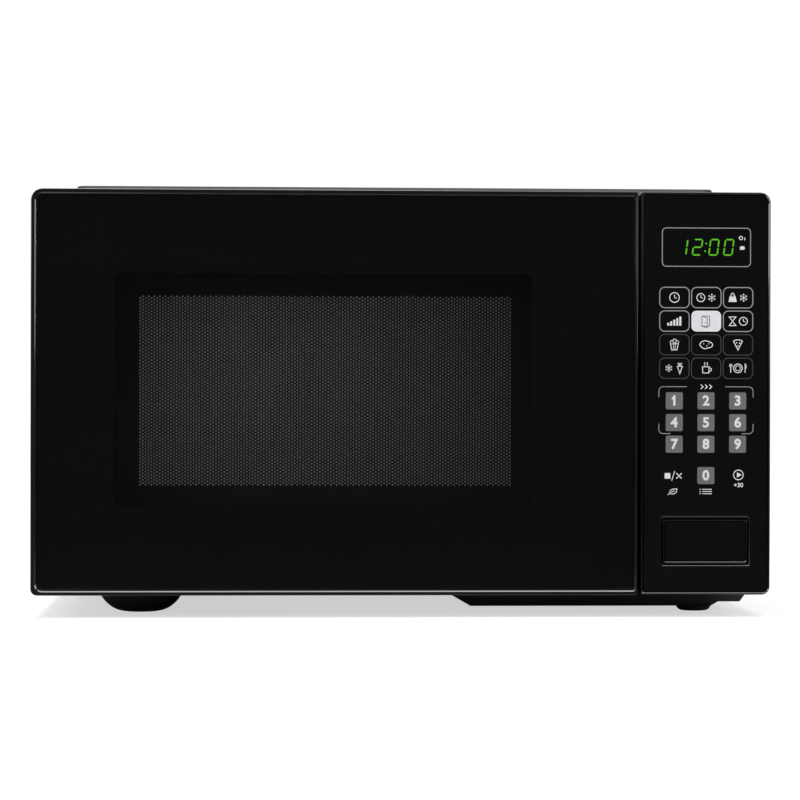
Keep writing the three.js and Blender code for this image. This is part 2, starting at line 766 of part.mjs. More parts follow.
// A winding on the core's middle leg, between two heights in its windows.
function winding(from, to, bulge) {
  const { x, y, leg, slot, stack } = core;
  const ring = (grow, radius) => {
    const halfX = leg / 2 + grow;
    const halfY = stack / 2 + grow;
    return roundedRect(x - halfX, y - halfY, x + halfX, y + halfY, radius);
  };
  const base = core.z0 + leg / 2;
  return cut(
    prism("Z", ring(slot - bulge, 9), base + from, base + to, 2),
    prism("Z", ring(FIT, BITE), base, base + core.window),
  );
}
oven.add(mesh("primary_winding", winding(FIT, core.window * 0.42, 0.6), "copper"));
oven.add(mesh("secondary_winding", winding(core.window * 0.5, core.window - FIT, 0.4), "copper"));

// The capacitor's oval can stands on the pan, held by a band that is fixed to the cavity's side.
const can = { x: sideX + 42, y: spin.y - 38, halfX: 26, halfY: 17, top: panTop + 88, band: 46 };
can.ring = (grow) => {
  const halfX = can.halfX + grow;
  const halfY = can.halfY + grow;
  return roundedRect(can.x - halfX, can.y - halfY, can.x + halfX, can.y + halfY, halfY);
};
can.posts = [-12, 12].map((dx) => can.x + dx);

function capacitor() {
  const seam = 0.8;
  return join(
    prism("Z", can.ring(0), panTop, can.top, 2),
    prism("Z", can.ring(seam), can.top - 3, can.top - 1, 2),
    can.posts.map((x) => rod("Z", x, can.y, 5, can.top - PAST, can.top + 4, 12)),
    can.posts.map((x) => rod("Z", x, can.y, CAN_POST, can.top + 3, can.top + 12, FEW)),
  );
}
oven.add(mesh("capacitor", capacitor(), "steel"));

function capacitorClamp() {
  const high = 14;
  const strap = 1.2;
  const z1 = can.band + high;
  return cut(
    join(
      prism("Z", can.ring(FIT + strap), can.band, z1, 2),
      box(sideX, sideX + strap, can.y - 20, can.y + 20, can.band, z1),
      box(sideX, can.x - can.halfX, can.y - 1, can.y + 1, can.band, z1),
    ),
    prism("Z", can.ring(FIT), can.band - PAST, z1 + PAST, 2),
    [-13, 13].map((dy) => rod("X", can.y + dy, can.band + high / 2, 2.2, 0, sideX + 2, FEW)),
  );
}
oven.add(mesh("capacitor_clamp", capacitorClamp(), "zinc"));

// The diode runs from a post of the capacitor down to an earth tag on the pan.
function diode() {
  const post = can.posts[1];
  const x = can.x + can.halfX + 5;
  const z = can.top + 6;
  const lead = 0.8;
  const body = { radius: 4, from: z - 36, to: z - 16 };
  const tag = (tx, tz) =>
    cut(
      rod("Z", tx, can.y, 4.5, tz, tz + 1, 12),
      rod("Z", tx, can.y, CAN_POST + FIT, tz - PAST, tz + 1 + PAST, FEW),
    );
  return join(
    tag(post, z),
    box(post + 4, x + lead, can.y - lead, can.y + lead, z - BITE, z + 1),
    rod("Z", x, can.y, lead, panTop, z + BITE, FEW),
    rod("Z", x, can.y, body.radius, body.from, body.to, 12),
    tag(x + 4, panTop),
  );
}
oven.add(mesh("hv_diode", diode(), "blackPlastic"));

// ---------------------------------------------------------------- cooling and supply

const fanHalf = FAN_RADIUS + FAN_MARGIN; // half of the duct's square
const fanHole = FAN_RADIUS + 2;
const fanArm = { dz: [-13, 17], high: 6, y0: fan.y1 - 11, thick: 3 }; // bars that carry the motor
const fanFace = fanArm.y0 - FIT;
const fanPeg = { drop: 5, y: fan.y1 - 20, reach: fanHalf - 12 }; // pegs that carry the noise filter
const rotorRadius = 9;

function fanDuct() {
  const { x, z, y0, y1 } = fan;
  const section = (inset) => {
    const half = fanHalf - inset;
    return roundedRect(x - half, z - half, x + half, z + half, 6 - inset);
  };
  const lip = 4;
  const rib = fanHalf - 1;
  const peg = (dx) => rod("Z", x + dx, fanPeg.y, 2.5, z - fanHalf - fanPeg.drop, z - fanHalf + PAST, FEW);
  return join(
    cut(
      prism("Y", section(0), y0, y1),
      prism("Y", section(DUCT_WALL), y0 + DUCT_WALL, y1 + PAST),
      rod("Y", x, z, fanHole, y0 - PAST, y0 + DUCT_WALL + PAST, 24),
    ),
    cut(
      rod("Y", x, z, fanHole + DUCT_WALL, y0, y0 + DUCT_WALL + lip, 24),
      rod("Y", x, z, fanHole, y0 - PAST, y0 + DUCT_WALL + lip + PAST, 24),
    ),
    fanArm.dz.map((dz) => {
      const low = z + dz - fanArm.high / 2;
      return box(x - rib, x + rib, fanArm.y0, fanArm.y0 + fanArm.thick, low, low + fanArm.high);
    }),
    [-fanPeg.reach, fanPeg.reach].map(peg),
  );
}
oven.add(mesh("fan_duct", fanDuct(), "greyPlastic"));

// A shaded-pole motor: C-shaped laminations, a coil on the lower leg and a bearing strap.
function fanMotor() {
  const { x, z } = fan;
  const stack = { thick: 14, half: 23, low: 26, high: 22 };
  const y0 = fanFace - stack.thick;
  const gap = 0.7; // air gap round the rotor
  const lamination = cut(
    box(x - stack.half, x + stack.half, y0, fanFace, z - stack.low, z + stack.high),
    box(x - 13, x + 13, y0 - PAST, fanFace + PAST, z - 20, z - 13),
    rod("Y", x, z, rotorRadius + gap, y0 - PAST, fanFace + PAST),
  );
  const strap = { y0: y0 - 6, thick: 2, half: 18, high: 4 };
  const stator = join(
    lamination,
    box(x - 11, x + 11, y0 - 7, fanFace + 7, z - 30, z - 19), // coil
    rod("Y", x, z, 5, strap.y0, strap.y0 + 5, 12),
    box(x - strap.half, x + strap.half, strap.y0, strap.y0 + strap.thick, z - strap.high, z + strap.high),
    [-15, 15].map((dx) => rod("Y", x + dx, z, 2, strap.y0 + PAST, y0 + PAST, FEW)),
  );
  return cut(stator, rod("Y", x, z, FAN_SHAFT + PIVOT, strap.y0 - PAST, y0 + PAST, 16));
}
oven.add(mesh("fan_motor", fanMotor(), "steel"));

function fanRotor() {
  const { x, z, y0 } = fan;
  return join(
    rod("Y", x, z, rotorRadius, fanFace - 14, fanFace, 20),
    rod("Y", x, z, FAN_SHAFT, y0 + 4, fanFace - 13, 16),
  );
}
oven.add(mesh("fan_rotor", fanRotor(), "steel"));

// Each blade is lofted outwards from the hub and flattens towards its tip.
function fanBlade() {
  const root = 8;
  const section = (chord, pitch, thick) => {
    const along = new THREE.Vector2(Math.cos(pitch), Math.sin(pitch)).multiplyScalar(chord / 2);
    const across = new THREE.Vector2(-Math.sin(pitch), Math.cos(pitch)).multiplyScalar(thick / 2);
    const corner = (a, b) => along.clone().multiplyScalar(a).addScaledVector(across, b);
    return new THREE.Shape([corner(-1, -1), corner(0, -2), corner(1, -1), corner(1, 1), corner(-1, 1)]);
  };
  const blade = loft("X", [
    [section(11, 0.55, 1.4), root - 1.5],
    [section(19, 0.8, 1.3), (root + FAN_RADIUS) / 2],
    [section(24, 1.05, 1), FAN_RADIUS],
  ]);
  const blades = range(FAN_BLADES).map((i) =>
    placed(blade, [0, 0, 0], "Y", (i * 2 * Math.PI) / FAN_BLADES),
  );
  const hub = cut(rod("Y", 0, 0, root, -6, 7), rod("Y", 0, 0, FAN_SHAFT + FIT, -7, 8, 8));
  return placed(hub.add(join(blades).subtract(rod("Y", 0, 0, root - 0.5, -9, 9))), [
    fan.x,
    fan.y0 + 9,
    fan.z,
  ]);
}
oven.add(mesh("fan_blade", fanBlade(), "whitePlastic"));

// The noise filter's board hangs under the fan duct with a ring choke, a capacitor and a fuse below it.
function noiseFilter() {
  const z1 = fan.z - fanHalf - fanPeg.drop - FIT;
  const z0 = z1 - BOARD;
  const { y } = fanPeg;
  const ring = { inner: 5, outer: 11, deep: 9 };
  const choke = turned(
    [
      [ring.inner, z0 - ring.deep],
      [ring.outer, z0 - ring.deep],
      [ring.outer, z0 + BITE],
      [ring.inner, z0 + BITE],
      [ring.inner, z0 - ring.deep],
    ],
    16,
  );
  return join(
    box(fan.x - 40, fan.x + 40, y - 17, y + 17, z0, z1),
    placed(choke, [fan.x - 20, y, 0]),
    box(fan.x, fan.x + 24, y - 12, y - 2, z0 - 13, z0 + BITE), // capacitor
    rod("X", y + 8, z0 - 3, 3.2, fan.x, fan.x + 26, FEW), // fuse
  );
}
oven.add(mesh("noise_filter", noiseFilter(), "circuit"));

// The mains inlet: a grommet that grips the rear panel's hole on both sides.
function inletGrommet() {
  const groove = SHEET / 2 + FIT;
  const neck = INLET_RADIUS - FIT;
  const lip = INLET_RADIUS + 2.5;
  const bore = 4;
  const proud = 3;
  const ring = turned(
    [
      [bore, -groove - proud],
      [lip - 1, -groove - proud],
      [lip, -groove],
      [neck, -groove],
      [neck, groove],
      [lip, groove],
      [lip - 2, groove + proud],
      [bore, groove + proud],
      [bore, -groove - proud],
    ],
    14,
    "Y",
  );
  return placed(ring, [inlet.x, rearY - SHEET / 2, inlet.z]);
}
oven.add(mesh("inlet_grommet", inletGrommet(), "rubber"));

// ---------------------------------------------------------------- lamp and cutout

const socket = { x: sideX + 14, z: lamp.z + 9, radius: 6 };

function lampHolder() {
  const { x, z, radius } = socket;
  const plate = 1.5;
  const high = 12;
  return cut(
    join(
      box(sideX, sideX + plate, lamp.y - 15, lamp.y + 15, lamp.z - 18, z + high),
      box(sideX, x + 10, lamp.y - 10, lamp.y + 10, z, z + high),
    ),
    box(sideX - PAST, sideX + plate + PAST, lamp.y - 11.5, lamp.y + 11.5, lamp.z - 12, lamp.z + 6),
    rod("Z", x, lamp.y, radius + FIT, z - PAST, z + high - 3, 12),
  );
}
oven.add(mesh("lamp_holder", lampHolder(), "whitePlastic"));

function bulb() {
  const { x, z, radius } = socket;
  const profile = [
    [0, -25],
    [5, -24],
    [8.5, -19],
    [9, -13],
    [7, -5],
    [radius, -1],
    [radius, 8.5],
    [0, 8.5],
  ];
  return placed(turned(profile, 12), [x, lamp.y, z]);
}
oven.add(mesh("cavity_lamp", bulb(), "glass"));

function thermalCutout() {
  const y = guide.y0 - 26;
  const z = cavity.z1 - 30;
  const body = { radius: 8, deep: 9 };
  const ear = 10;
  return join(
    cut(
      prism("X", roundedRect(y - ear - 3, z - 5, y + ear + 3, z + 5, 5), sideX, sideX + 1, 2),
      [-ear, ear].map((dy) => rod("X", y + dy, z, 1.8, sideX - PAST, sideX + 1 + PAST, FEW)),
    ),
    rod("X", y, z, body.radius, sideX, sideX + body.deep, 14),
    [-4, 4].map((dy) => {
      const at = y + dy;
      return box(sideX + body.deep - BITE, sideX + body.deep + 8, at - 0.5, at + 0.5, z - 3, z + 3);
    }),
  );
}
oven.add(mesh("thermal_cutout", thermalCutout(), "blackPlastic"));

// ---------------------------------------------------------------- turntable

const thirds = range(3).map((i) => (i * 2 * Math.PI) / 3);
const rollerZ = wellZ + ROLLER_RADIUS + FIT;
const trayZ = rollerZ + ROLLER_RADIUS + FIT;
const shaftTop = trayZ - 6;
const shaftFoot = wellZ - SHEET - FIT - MOTOR_HEIGHT + 3;
const shaftFlat = SHAFT * 0.6; // axis to the flat that drives the coupler

function turntableMotor() {
  const top = wellZ - SHEET - FIT;
  const foot = top - MOTOR_HEIGHT;
  const ear = 29;
  const ears = prism("Z", roundedRect(-ear - 4, -5, ear + 4, 5, 4), top - 1, top, 2);
  const holes = [-ear, ear].map((dx) => rod("Z", dx, 0, 2, top - PAST - 1, top + PAST, FEW));
  const solid = cut(
    join(
      turned([
        [0, foot],
        [MOTOR_RADIUS - 1, foot],
        [MOTOR_RADIUS, foot + 1],
        [MOTOR_RADIUS, top],
        [0, top],
      ]),
      ears,
      box(-7, 7, MOTOR_RADIUS - 3, MOTOR_RADIUS + 9, foot + 2, top - 2), // terminals
    ),
    holes,
    rod("Z", 0, 0, SHAFT + PIVOT, shaftFoot - FIT, top + PAST),
  );
  return placed(solid, [spin.x, spin.y, 0]);
}
oven.add(mesh("turntable_motor", turntableMotor(), "zinc"));

function turntableShaft() {
  const shaft = cut(
    rod("Z", 0, 0, SHAFT, shaftFoot, shaftTop),
    box(shaftFlat, SHAFT + PAST, -SHAFT, SHAFT, wellZ, shaftTop + PAST),
  );
  return placed(shaft, [spin.x, spin.y, 0]);
}
oven.add(mesh("turntable_shaft", turntableShaft(), "steel"));

// Three arms that catch the lugs under the tray, on a hub that fits the motor's flatted shaft.
function turntableCoupler() {
  const foot = wellZ + RUNNING;
  const top = trayZ - FIT;
  const arm = loft(
    "X",
    [
      [roundedRect(-4.5, top - 8, 4.5, top, 1), 0],
      [roundedRect(-3, top - 5, 3, top, 1), COUPLER_ARM],
    ],
    1,
  );
  const bore = cut(
    rod("Z", 0, 0, SHAFT + FIT, foot - PAST, shaftTop + FIT, 16),
    box(shaftFlat + FIT, SHAFT + PAST, -SHAFT, SHAFT, foot - 2 * PAST, shaftTop + PAST),
  );
  const arms = thirds.map((angle) => placed(arm, [0, 0, 0], "Z", angle));
  const hub = turned([
    [0, foot],
    [COUPLER_HUB - 1, foot],
    [COUPLER_HUB, top - 8],
    [COUPLER_HUB + 1.5, top],
    [0, top],
  ]);
  return placed(cut(join(hub, arms), bore), [spin.x, spin.y, 0]);
}
oven.add(mesh("turntable_coupler", turntableCoupler(), "whitePlastic"));

// A shallow pressed-glass dish, with three lugs under it that sit between the coupler's arms.
function glassTray() {
  const flat = trayRadius - 18;
  const under = trayZ + TRAY_GLASS;
  const dish = turned(
    [
      [0, trayZ],
      [flat, trayZ],
      [flat + 10, trayZ + 3],
      [trayRadius, trayZ + TRAY_RIM - 1.5],
      [trayRadius - 1, trayZ + TRAY_RIM],
      [trayRadius - 3, trayZ + TRAY_RIM - 0.5],
      [flat + 7, under + 2],
      [flat - 1, under],
      [0, under],
    ],
    36,
  );
  const lug = rod("Z", COUPLER_ARM - 6, 0, 3.5, trayZ - 3.5, trayZ + PAST, FEW);
  const lugs = thirds.map((angle) => placed(lug, [0, 0, 0], "Z", angle + Math.PI / 3));
  return placed(join(dish, lugs), [spin.x, spin.y, 0]);
}
oven.add(mesh("glass_tray", glassTray(), "glass"));

const ringInner = ringRadius - ROLLER_WIDTH / 2 - 3 - RING_SECTION;
const rollerAngles = range(ROLLER_COUNT).map((i) => Math.PI / 2 + (i * 2 * Math.PI) / ROLLER_COUNT);

function rollerRing() {
  const half = RING_SECTION / 2;
  const ring = turned(
    [
      [ringInner, rollerZ - half],
      [ringInner + RING_SECTION, rollerZ - half],
      [ringInner + RING_SECTION, rollerZ + half],
      [ringInner, rollerZ + half],
      [ringInner, rollerZ - half],
    ],
    32,
  );
  const near = ringRadius - ROLLER_WIDTH / 2 - RUNNING;
  const far = ringRadius + ROLLER_WIDTH / 2 + RUNNING;
  const cap = 1.5; // snap-over end that keeps the roller on
  const axle = join(
    rod("X", 0, rollerZ, AXLE, ringInner + 2, far + cap, FEW),
    rod("X", 0, rollerZ, AXLE + 2, ringInner + 2, near, FEW),
    rod("X", 0, rollerZ, AXLE + 1, far, far + cap, FEW),
  );
  const axles = rollerAngles.map((angle) => placed(axle, [0, 0, 0], "Z", angle));
  return placed(join(ring, axles), [spin.x, spin.y, 0]);
}

oven.add(mesh("roller_ring", rollerRing(), "whitePlastic"));

function roller() {
  const half = ROLLER_WIDTH / 2;
  const bore = AXLE + RUNNING;
  return turned(
    [
      [bore, -half],
      [ROLLER_RADIUS - 1, -half],
      [ROLLER_RADIUS, 0],
      [ROLLER_RADIUS - 1, half],
      [bore, half],
      [bore, -half],
    ],
    16,
    "X",
  );
}
rollerAngles.forEach((angle, i) => {
  const made = mesh(`roller_${i + 1}`, roller(), "whitePlastic");
  made.rotation.z = angle;
  made.position.set(
    spin.x + ringRadius * Math.cos(angle),
    spin.y + ringRadius * Math.sin(angle),
    rollerZ,
  );
  oven.add(made);
});

// ---------------------------------------------------------------- door

const webY = front + DOOR_GLASS_SETBACK + GLASS + FIT; // front of the frame's web, behind the glass
const webBack = webY + SHELL;
const chokeBack = doorBack - CHOKE_SETBACK;
const chokeFront = chokeBack - CHOKE_DEPTH;
const doorInner = { x0: left + SHELL, x1: doorRight - SHELL, z0: sill + SHELL, z1: head - SHELL };
const hookBar = {
  y0: webBack + 1,
  y1: webBack + 9,
  z0: hooks[0] - HOOK_BARB - 14,
  z1: hooks[1] + HOOK_DEPTH + 16,
};
const springGap = 18; // hook bar down to the stop under its spring
const plateEdge = {
  x0: doorInner.x0 + FIT,
  x1: hookX - 2,
  z0: doorInner.z0 + FIT,
  z1: doorInner.z1 - FIT,
};
const hingeBoss = 5.6;

const doorOutline = (inset) =>
  roundedRect(left + inset, sill + inset, doorRight - inset, head - inset, [
    cornerOf(LOW_CORNER, inset),
    cornerOf(MEETING_CORNER, inset),
    cornerOf(MEETING_CORNER, inset),
    cornerOf(TOP_CORNER, inset),
  ]);

function cornerOf(radius, inset) {
  return Math.max(radius - inset, 0.3);
}

const glassOutline = (inset) =>
  roundedRect(
    left + GLASS_RIM + inset,
    sill + GLASS_RIM_LOW + inset,
    doorRight - GLASS_RIM_RIGHT - inset,
    head - GLASS_RIM - inset,
    [cornerOf(GLASS_CORNER, inset), 0.8, 0.8, cornerOf(GLASS_CORNER, inset)],
  );

const windowOutline = (grow) =>
  roundedRect(
    windowX - WINDOW_WIDTH / 2 - grow,
    windowZ - WINDOW_HEIGHT / 2 - grow,
    windowX + WINDOW_WIDTH / 2 + grow,
    windowZ + WINDOW_HEIGHT / 2 + grow,
    3,
  );

// A moulding: a rounded front rim, a web behind the glass and a skirt that reaches back to the oven.
function doorFrame() {
  const shell = cut(
    loft("Y", [
      [doorOutline(EDGE_CHAMFER), front],
      [doorOutline(EDGE_CHAMFER / 4), front + EDGE_CHAMFER / 3],
      [doorOutline(0), front + EDGE_CHAMFER],
      [doorOutline(0), doorBack],
    ]),
    prism("Y", glassOutline(0), front - PAST, webY, 2),
    prism("Y", windowOutline(2), front, webBack + PAST),
    prism("Y", doorOutline(SHELL), webBack, doorBack + PAST),
  );
  // the back edge is cut away where it swings past the cabinet
  const backEdge = polygon([
    [left - PAST, doorBack - 3],
    [left + 3, doorBack + PAST],
    [left - PAST, doorBack + PAST],
  ]);
  const gap = HINGE_TONGUE / 2 + RUNNING;
  const slotEnd = hinge.x + HINGE_HALF_WIDTH + RUNNING;
  const swing = 7.5; // how far in front of its axis the tongue comes as the door opens
  const tongueSlots = hingeZ.map((z) =>
    box(left - PAST, slotEnd, hinge.y - swing, doorBack + PAST, z - gap, z + gap),
  );
  const bosses = [
    [hingeZ[0] + gap, hingeZ[0] + gap + HINGE_PIN_LENGTH],
    [hingeZ[1] - gap - HINGE_PIN_LENGTH, hingeZ[1] - gap],
  ].map(([z0, z1]) =>
    join(
      rod("Z", hinge.x, hinge.y, hingeBoss, z0, z1),
      box(doorInner.x0 - BITE, hinge.x + 3, webBack - BITE, hinge.y, z0, z1),
    ).intersect(prism("Y", doorOutline(BITE), front, doorBack)),
  );
  const pins = [hingeZ[0], hingeZ[1] - HINGE_PIN_LENGTH - 1].map((z) =>
    rod("Z", hinge.x, hinge.y, HINGE_PIN + PIVOT, z, z + HINGE_PIN_LENGTH + 1),
  );
  // posts that the steel plate is screwed to
  const post = (x, z) => rod("Y", x, z, 3.2, webBack - BITE, chokeFront - FIT, FEW);
  const posts = [plateEdge.x0 + 30, windowX, plateEdge.x1 - 30].flatMap((x) =>
    [plateEdge.z0 + 6, plateEdge.z1 - 6].map((z) => post(x, z)),
  );
  // the hook bar slides between two pairs of ribs, and its spring stands on a ledge
  const back = [webBack - BITE, hookBar.y1];
  const rib = 1.3;
  const guides = [hooks[0] - HOOK_BARB - 12, hooks[1] + HOOK_DEPTH + 5].flatMap((z) => [
    box(hookX - RUNNING - rib, hookX - RUNNING, ...back, z, z + 8),
    box(hookX + HOOK_THICK + RUNNING, doorInner.x1 + BITE, ...back, z, z + 8),
  ]);
  const ledgeTop = hookBar.z0 - springGap;
  const ledge = box(hookX - 1, doorInner.x1 + BITE, ...back, ledgeTop - 3, ledgeTop);
  return cut(
    join(shell, bosses, posts, guides, ledge),
    prism("Z", backEdge, sill - PAST, head + PAST),
    tongueSlots,
    pins,
  );
}
oven.add(mesh("door_frame", doorFrame(), "blackPlastic"));

const glassY = front + DOOR_GLASS_SETBACK;
const doorGlass = prism("Y", glassOutline(FIT), glassY, glassY + GLASS, 2);
oven.add(mesh("door_glass", doorGlass, "darkGlass"));

const chokeInner = {
  x0: cavity.x0 - 1,
  x1: cavity.x1 + 1,
  z0: cavity.z0 - 1,
  z1: cavity.z1 + 1,
};
const insetRect = (edge, inset, radius) =>
  roundedRect(edge.x0 + inset, edge.z0 + inset, edge.x1 - inset, edge.z1 - inset, radius);

// The steel pan behind the glass: a flat screen in the middle and a choke trough with a slotted lip round it.
function doorPlate() {
  const outer = (inset) => insetRect(plateEdge, inset, 4);
  const inner = (inset) => insetRect(chokeInner, inset, 3);
  const trough = cut(
    prism("Y", outer(SHEET), chokeFront + SHEET, chokeBack + PAST),
    prism("Y", inner(0), chokeFront, chokeBack + 2 * PAST),
    cut(
      prism("Y", outer(SHEET), chokeBack - SHEET, chokeBack + PAST),
      prism("Y", outer(CHOKE_LIP), chokeBack - SHEET - PAST, chokeBack + 2 * PAST),
    ),
  );
  // slots through the lip and the edge of the wall behind it
  const slot = { half: 2, deep: CHOKE_LIP + 1, y0: chokeBack - 7, y1: chokeBack + PAST };
  const spaced = (from, to) => {
    const count = Math.round((to - from) / CHOKE_PITCH);
    return range(count).map((i) => from + ((i + 0.5) * (to - from)) / count);
  };
  const { x0, x1, z0, z1 } = plateEdge;
  const comb = [
    ...spaced(x0 + 8, x1 - 8).flatMap((x) => [
      box(x - slot.half, x + slot.half, slot.y0, slot.y1, z0 - PAST, z0 + slot.deep),
      box(x - slot.half, x + slot.half, slot.y0, slot.y1, z1 - slot.deep, z1 + PAST),
    ]),
    ...spaced(z0 + 24, z1 - 24).flatMap((z) => [
      box(x0 - PAST, x0 + slot.deep, slot.y0, slot.y1, z - slot.half, z + slot.half),
      box(x1 - slot.deep, x1 + PAST, slot.y0, slot.y1, z - slot.half, z + slot.half),
    ]),
  ];
  const hingeEdge = hinge.x + hingeBoss + 1;
  const corners = [
    box(left, hingeEdge, front, plateY, 0, hingeZ[0] + HINGE_PIN_LENGTH + 3),
    box(left, hingeEdge, front, plateY, hingeZ[1] - HINGE_PIN_LENGTH - 3, HEIGHT),
  ];
  return cut(
    prism("Y", outer(0), chokeFront, chokeBack),
    prism("Y", inner(SHEET), chokeFront - PAST, chokeBack - SHEET),
    trough,
    comb,
    corners,
  );
}
oven.add(mesh("door_plate", doorPlate(), "screenPaint"));

const coverLap = 7; // choke cover inside the cavity's opening
const coverInner = (inset) => insetRect(cavity, coverLap + inset, 6);

// The flat moulding over the choke, slotted for the latch hooks and notched round the hinges.
function chokeCover() {
  const edge = { x0: hinge.x, x1: doorInner.x1 - FIT, z0: doorInner.z0 + FIT, z1: doorInner.z1 - FIT };
  const outline = (inset) => insetRect(edge, inset, 3);
  const y0 = chokeBack + FIT;
  const y1 = plateY - DOOR_SEAL;
  const bevel = 0.8;
  const through = [y0 - PAST, y1 + PAST];
  const slots = hooks.map((z) => {
    const top = z + HOOK_DEPTH + hookLift + PAST;
    return box(hookX - PAST, hookX + HOOK_THICK + PAST, ...through, z - HOOK_BARB - PAST, top);
  });
  const notchEdge = hinge.x + HINGE_HALF_WIDTH + 2;
  const notches = [
    box(edge.x0 - PAST, notchEdge, ...through, 0, hingeZ[0] + 3),
    box(edge.x0 - PAST, notchEdge, ...through, hingeZ[1] - 3, HEIGHT),
  ];
  return cut(
    loft("Y", [
      [outline(0), y0],
      [outline(0), y1 - bevel],
      [outline(bevel), y1],
    ]),
    prism("Y", coverInner(0), ...through, 2),
    slots,
    notches,
  );
}
oven.add(mesh("choke_cover", chokeCover(), "blackPlastic"));

// The clear sheet that keeps splashes off the screen, flush with the cover's front.
const doorFilm = prism("Y", coverInner(FIT), chokeBack + FIT, chokeBack + FIT + FILM, 2);
oven.add(mesh("door_film", doorFilm, "darkGlass"));

// A hinge: a leaf behind the front plate, a tongue through it, and a pin up or down into the door.
function hingePiece(z, towards) {
  const y0 = plateBack + FIT;
  const y1 = y0 + HINGE_TONGUE;
  const w = HINGE_HALF_WIDTH;
  const tongue = new THREE.Shape();
  tongue.moveTo(hinge.x + w, y1);
  tongue.lineTo(hinge.x - w, y1);
  tongue.absarc(hinge.x, hinge.y, w, Math.PI, 2 * Math.PI, false);
  const half = HINGE_TONGUE / 2;
  const leafEnd = z + towards * 30;
  const pinEnd = z + towards * HINGE_PIN_LENGTH;
  const leaf = [Math.min(z - half, leafEnd), Math.max(z + half, leafEnd)];
  const screws = [14, 24].map((dz) =>
    rod("Y", hinge.x, z + towards * dz, 1.8, y0 - PAST, y1 + PAST, FEW),
  );
  return join(
    prism("Z", tongue, z - half, z + half, 5),
    cut(box(hinge.x - w, hinge.x + w, y0, y1, ...leaf), screws),
    rod("Z", hinge.x, hinge.y, HINGE_PIN, Math.min(z, pinEnd), Math.max(z, pinEnd)),
  );
}
oven.add(mesh("lower_hinge", hingePiece(hingeZ[0], 1), "steel"));
oven.add(mesh("upper_hinge", hingePiece(hingeZ[1], -1), "steel"));

// ---------------------------------------------------------------- latch

// One bar with two hooks: the barbs drop behind the ledges of the latch bracket.
function latchHook() {
  const { y0, y1, z0, z1 } = hookBar;
  const bevel = 3;
  const bar = polygon([
    [y0, z0],
    [y1, z0],
    [y1, z1 - bevel],
    [y1 - bevel, z1],
    [y0, z1],
  ]);
  const barbStart = hookTip - HOOK_BARB_LENGTH;
  const hook = (z) =>
    polygon([
      [y1 - 1, z],
      [barbStart, z],
      [barbStart, z - HOOK_BARB],
      [hookTip - 2, z - HOOK_BARB],
      [hookTip, z - HOOK_BARB + bevel],
      [hookTip, z + HOOK_DEPTH - bevel],
      [hookTip - bevel, z + HOOK_DEPTH],
      [y1 - 1, z + HOOK_DEPTH],
    ]);
  const x1 = hookX + HOOK_THICK;
  return join(
    prism("X", bar, hookX, x1),
    hooks.map((z) => prism("X", hook(z), hookX, x1)),
  );
}
oven.add(mesh("latch_hook", latchHook(), "greyPlastic"));

// Hooked between the frame's ledge and the bar, it pulls the bar back down.
function latchSpring() {
  const length = springGap - 2 * FIT - SPRING_WIRE;
  const foot = [
    hookX + HOOK_THICK / 2,
    (hookBar.y0 + hookBar.y1) / 2,
    hookBar.z0 - springGap + FIT + SPRING_WIRE / 2,
  ];
  return placed(coil(SPRING_RADIUS, SPRING_WIRE, 6, length), foot);
}
oven.add(mesh("latch_spring", latchSpring(), "steel"));

const bracket = {
  x0: cavity.x1 + 13,
  wall0: hookX - 4,
  wall1: hookX - 1.2,
  eyes: [hookSwing + 2, stemX - 11],
  x1: stemX + 8,
  y0: plateBack + FIT,
  flange: 2.5,
  y1: hookTip + 20,
  z0: lever.z - 18,
  z1: hooks[1] + 40,
};
const eye = 3; // width of a lever eye
const noseX = { x0: hookX + 2.7, x1: hookX + 7 };
const leverEnd = stemX + 4;

// The moulding that holds the hooks, the switches and the release lever behind the front plate.
function latchBracket() {
  const { x0, x1, y0, flange, y1, z0, z1, wall0, wall1, eyes } = bracket;
  const barb = hookTip - HOOK_BARB_LENGTH - RUNNING; // ledge's far side, where a barb catches
  const above = (z) => z + HOOK_DEPTH + hookLift;
  const inner = wall1 - BITE;
  const ledges = hooks.map((z) =>
    box(inner, hookX + 2.2, barb - 6, barb, z - HOOK_BARB - 1.5, z - RUNNING),
  );
  const shelves = hooks.map((z) => {
    const low = above(z) + RUNNING;
    return box(inner, hookX + HOOK_THICK, barb - 10, barb + 2, low, low + 2);
  });
  const through = [y0 - PAST, y0 + flange + PAST];
  const windows = hooks.map((z) =>
    box(wall1, hookSwing, ...through, z - HOOK_BARB - PAST, above(z) + PAST),
  );
  const leverWindow = box(hookX - 1, leverEnd + 1.5, ...through, 0, lever.z + 13);
  const lug = polygon([
    [y0, lever.z - 4],
    [lever.y + 4, lever.z - 6],
    [lever.y + 7, lever.z],
    [lever.y + 4, lever.z + 9],
    [y0 + flange, lever.z + 24],
    [y0, lever.z + 24],
  ]);
  const wallCutout = [wall0 - PAST, wall1 + PAST, y0 + 12, y1 - 6, hooks[0] + 34, hooks[1] - 12];
  return cut(
    join(
      cut(box(x0, x1, y0, y0 + flange, z0, z1), windows, leverWindow),
      cut(box(wall0, wall1, y0, y1, hooks[0] - 10, z1), box(...wallCutout)),
      ledges,
      shelves,
      eyes.map((x) => prism("X", lug, x, x + eye)),
    ),
    rod("X", lever.y, lever.z, LEVER_SHAFT + PIVOT, x0, x1),
  );
}
oven.add(mesh("latch_bracket", latchBracket(), "greyPlastic"));

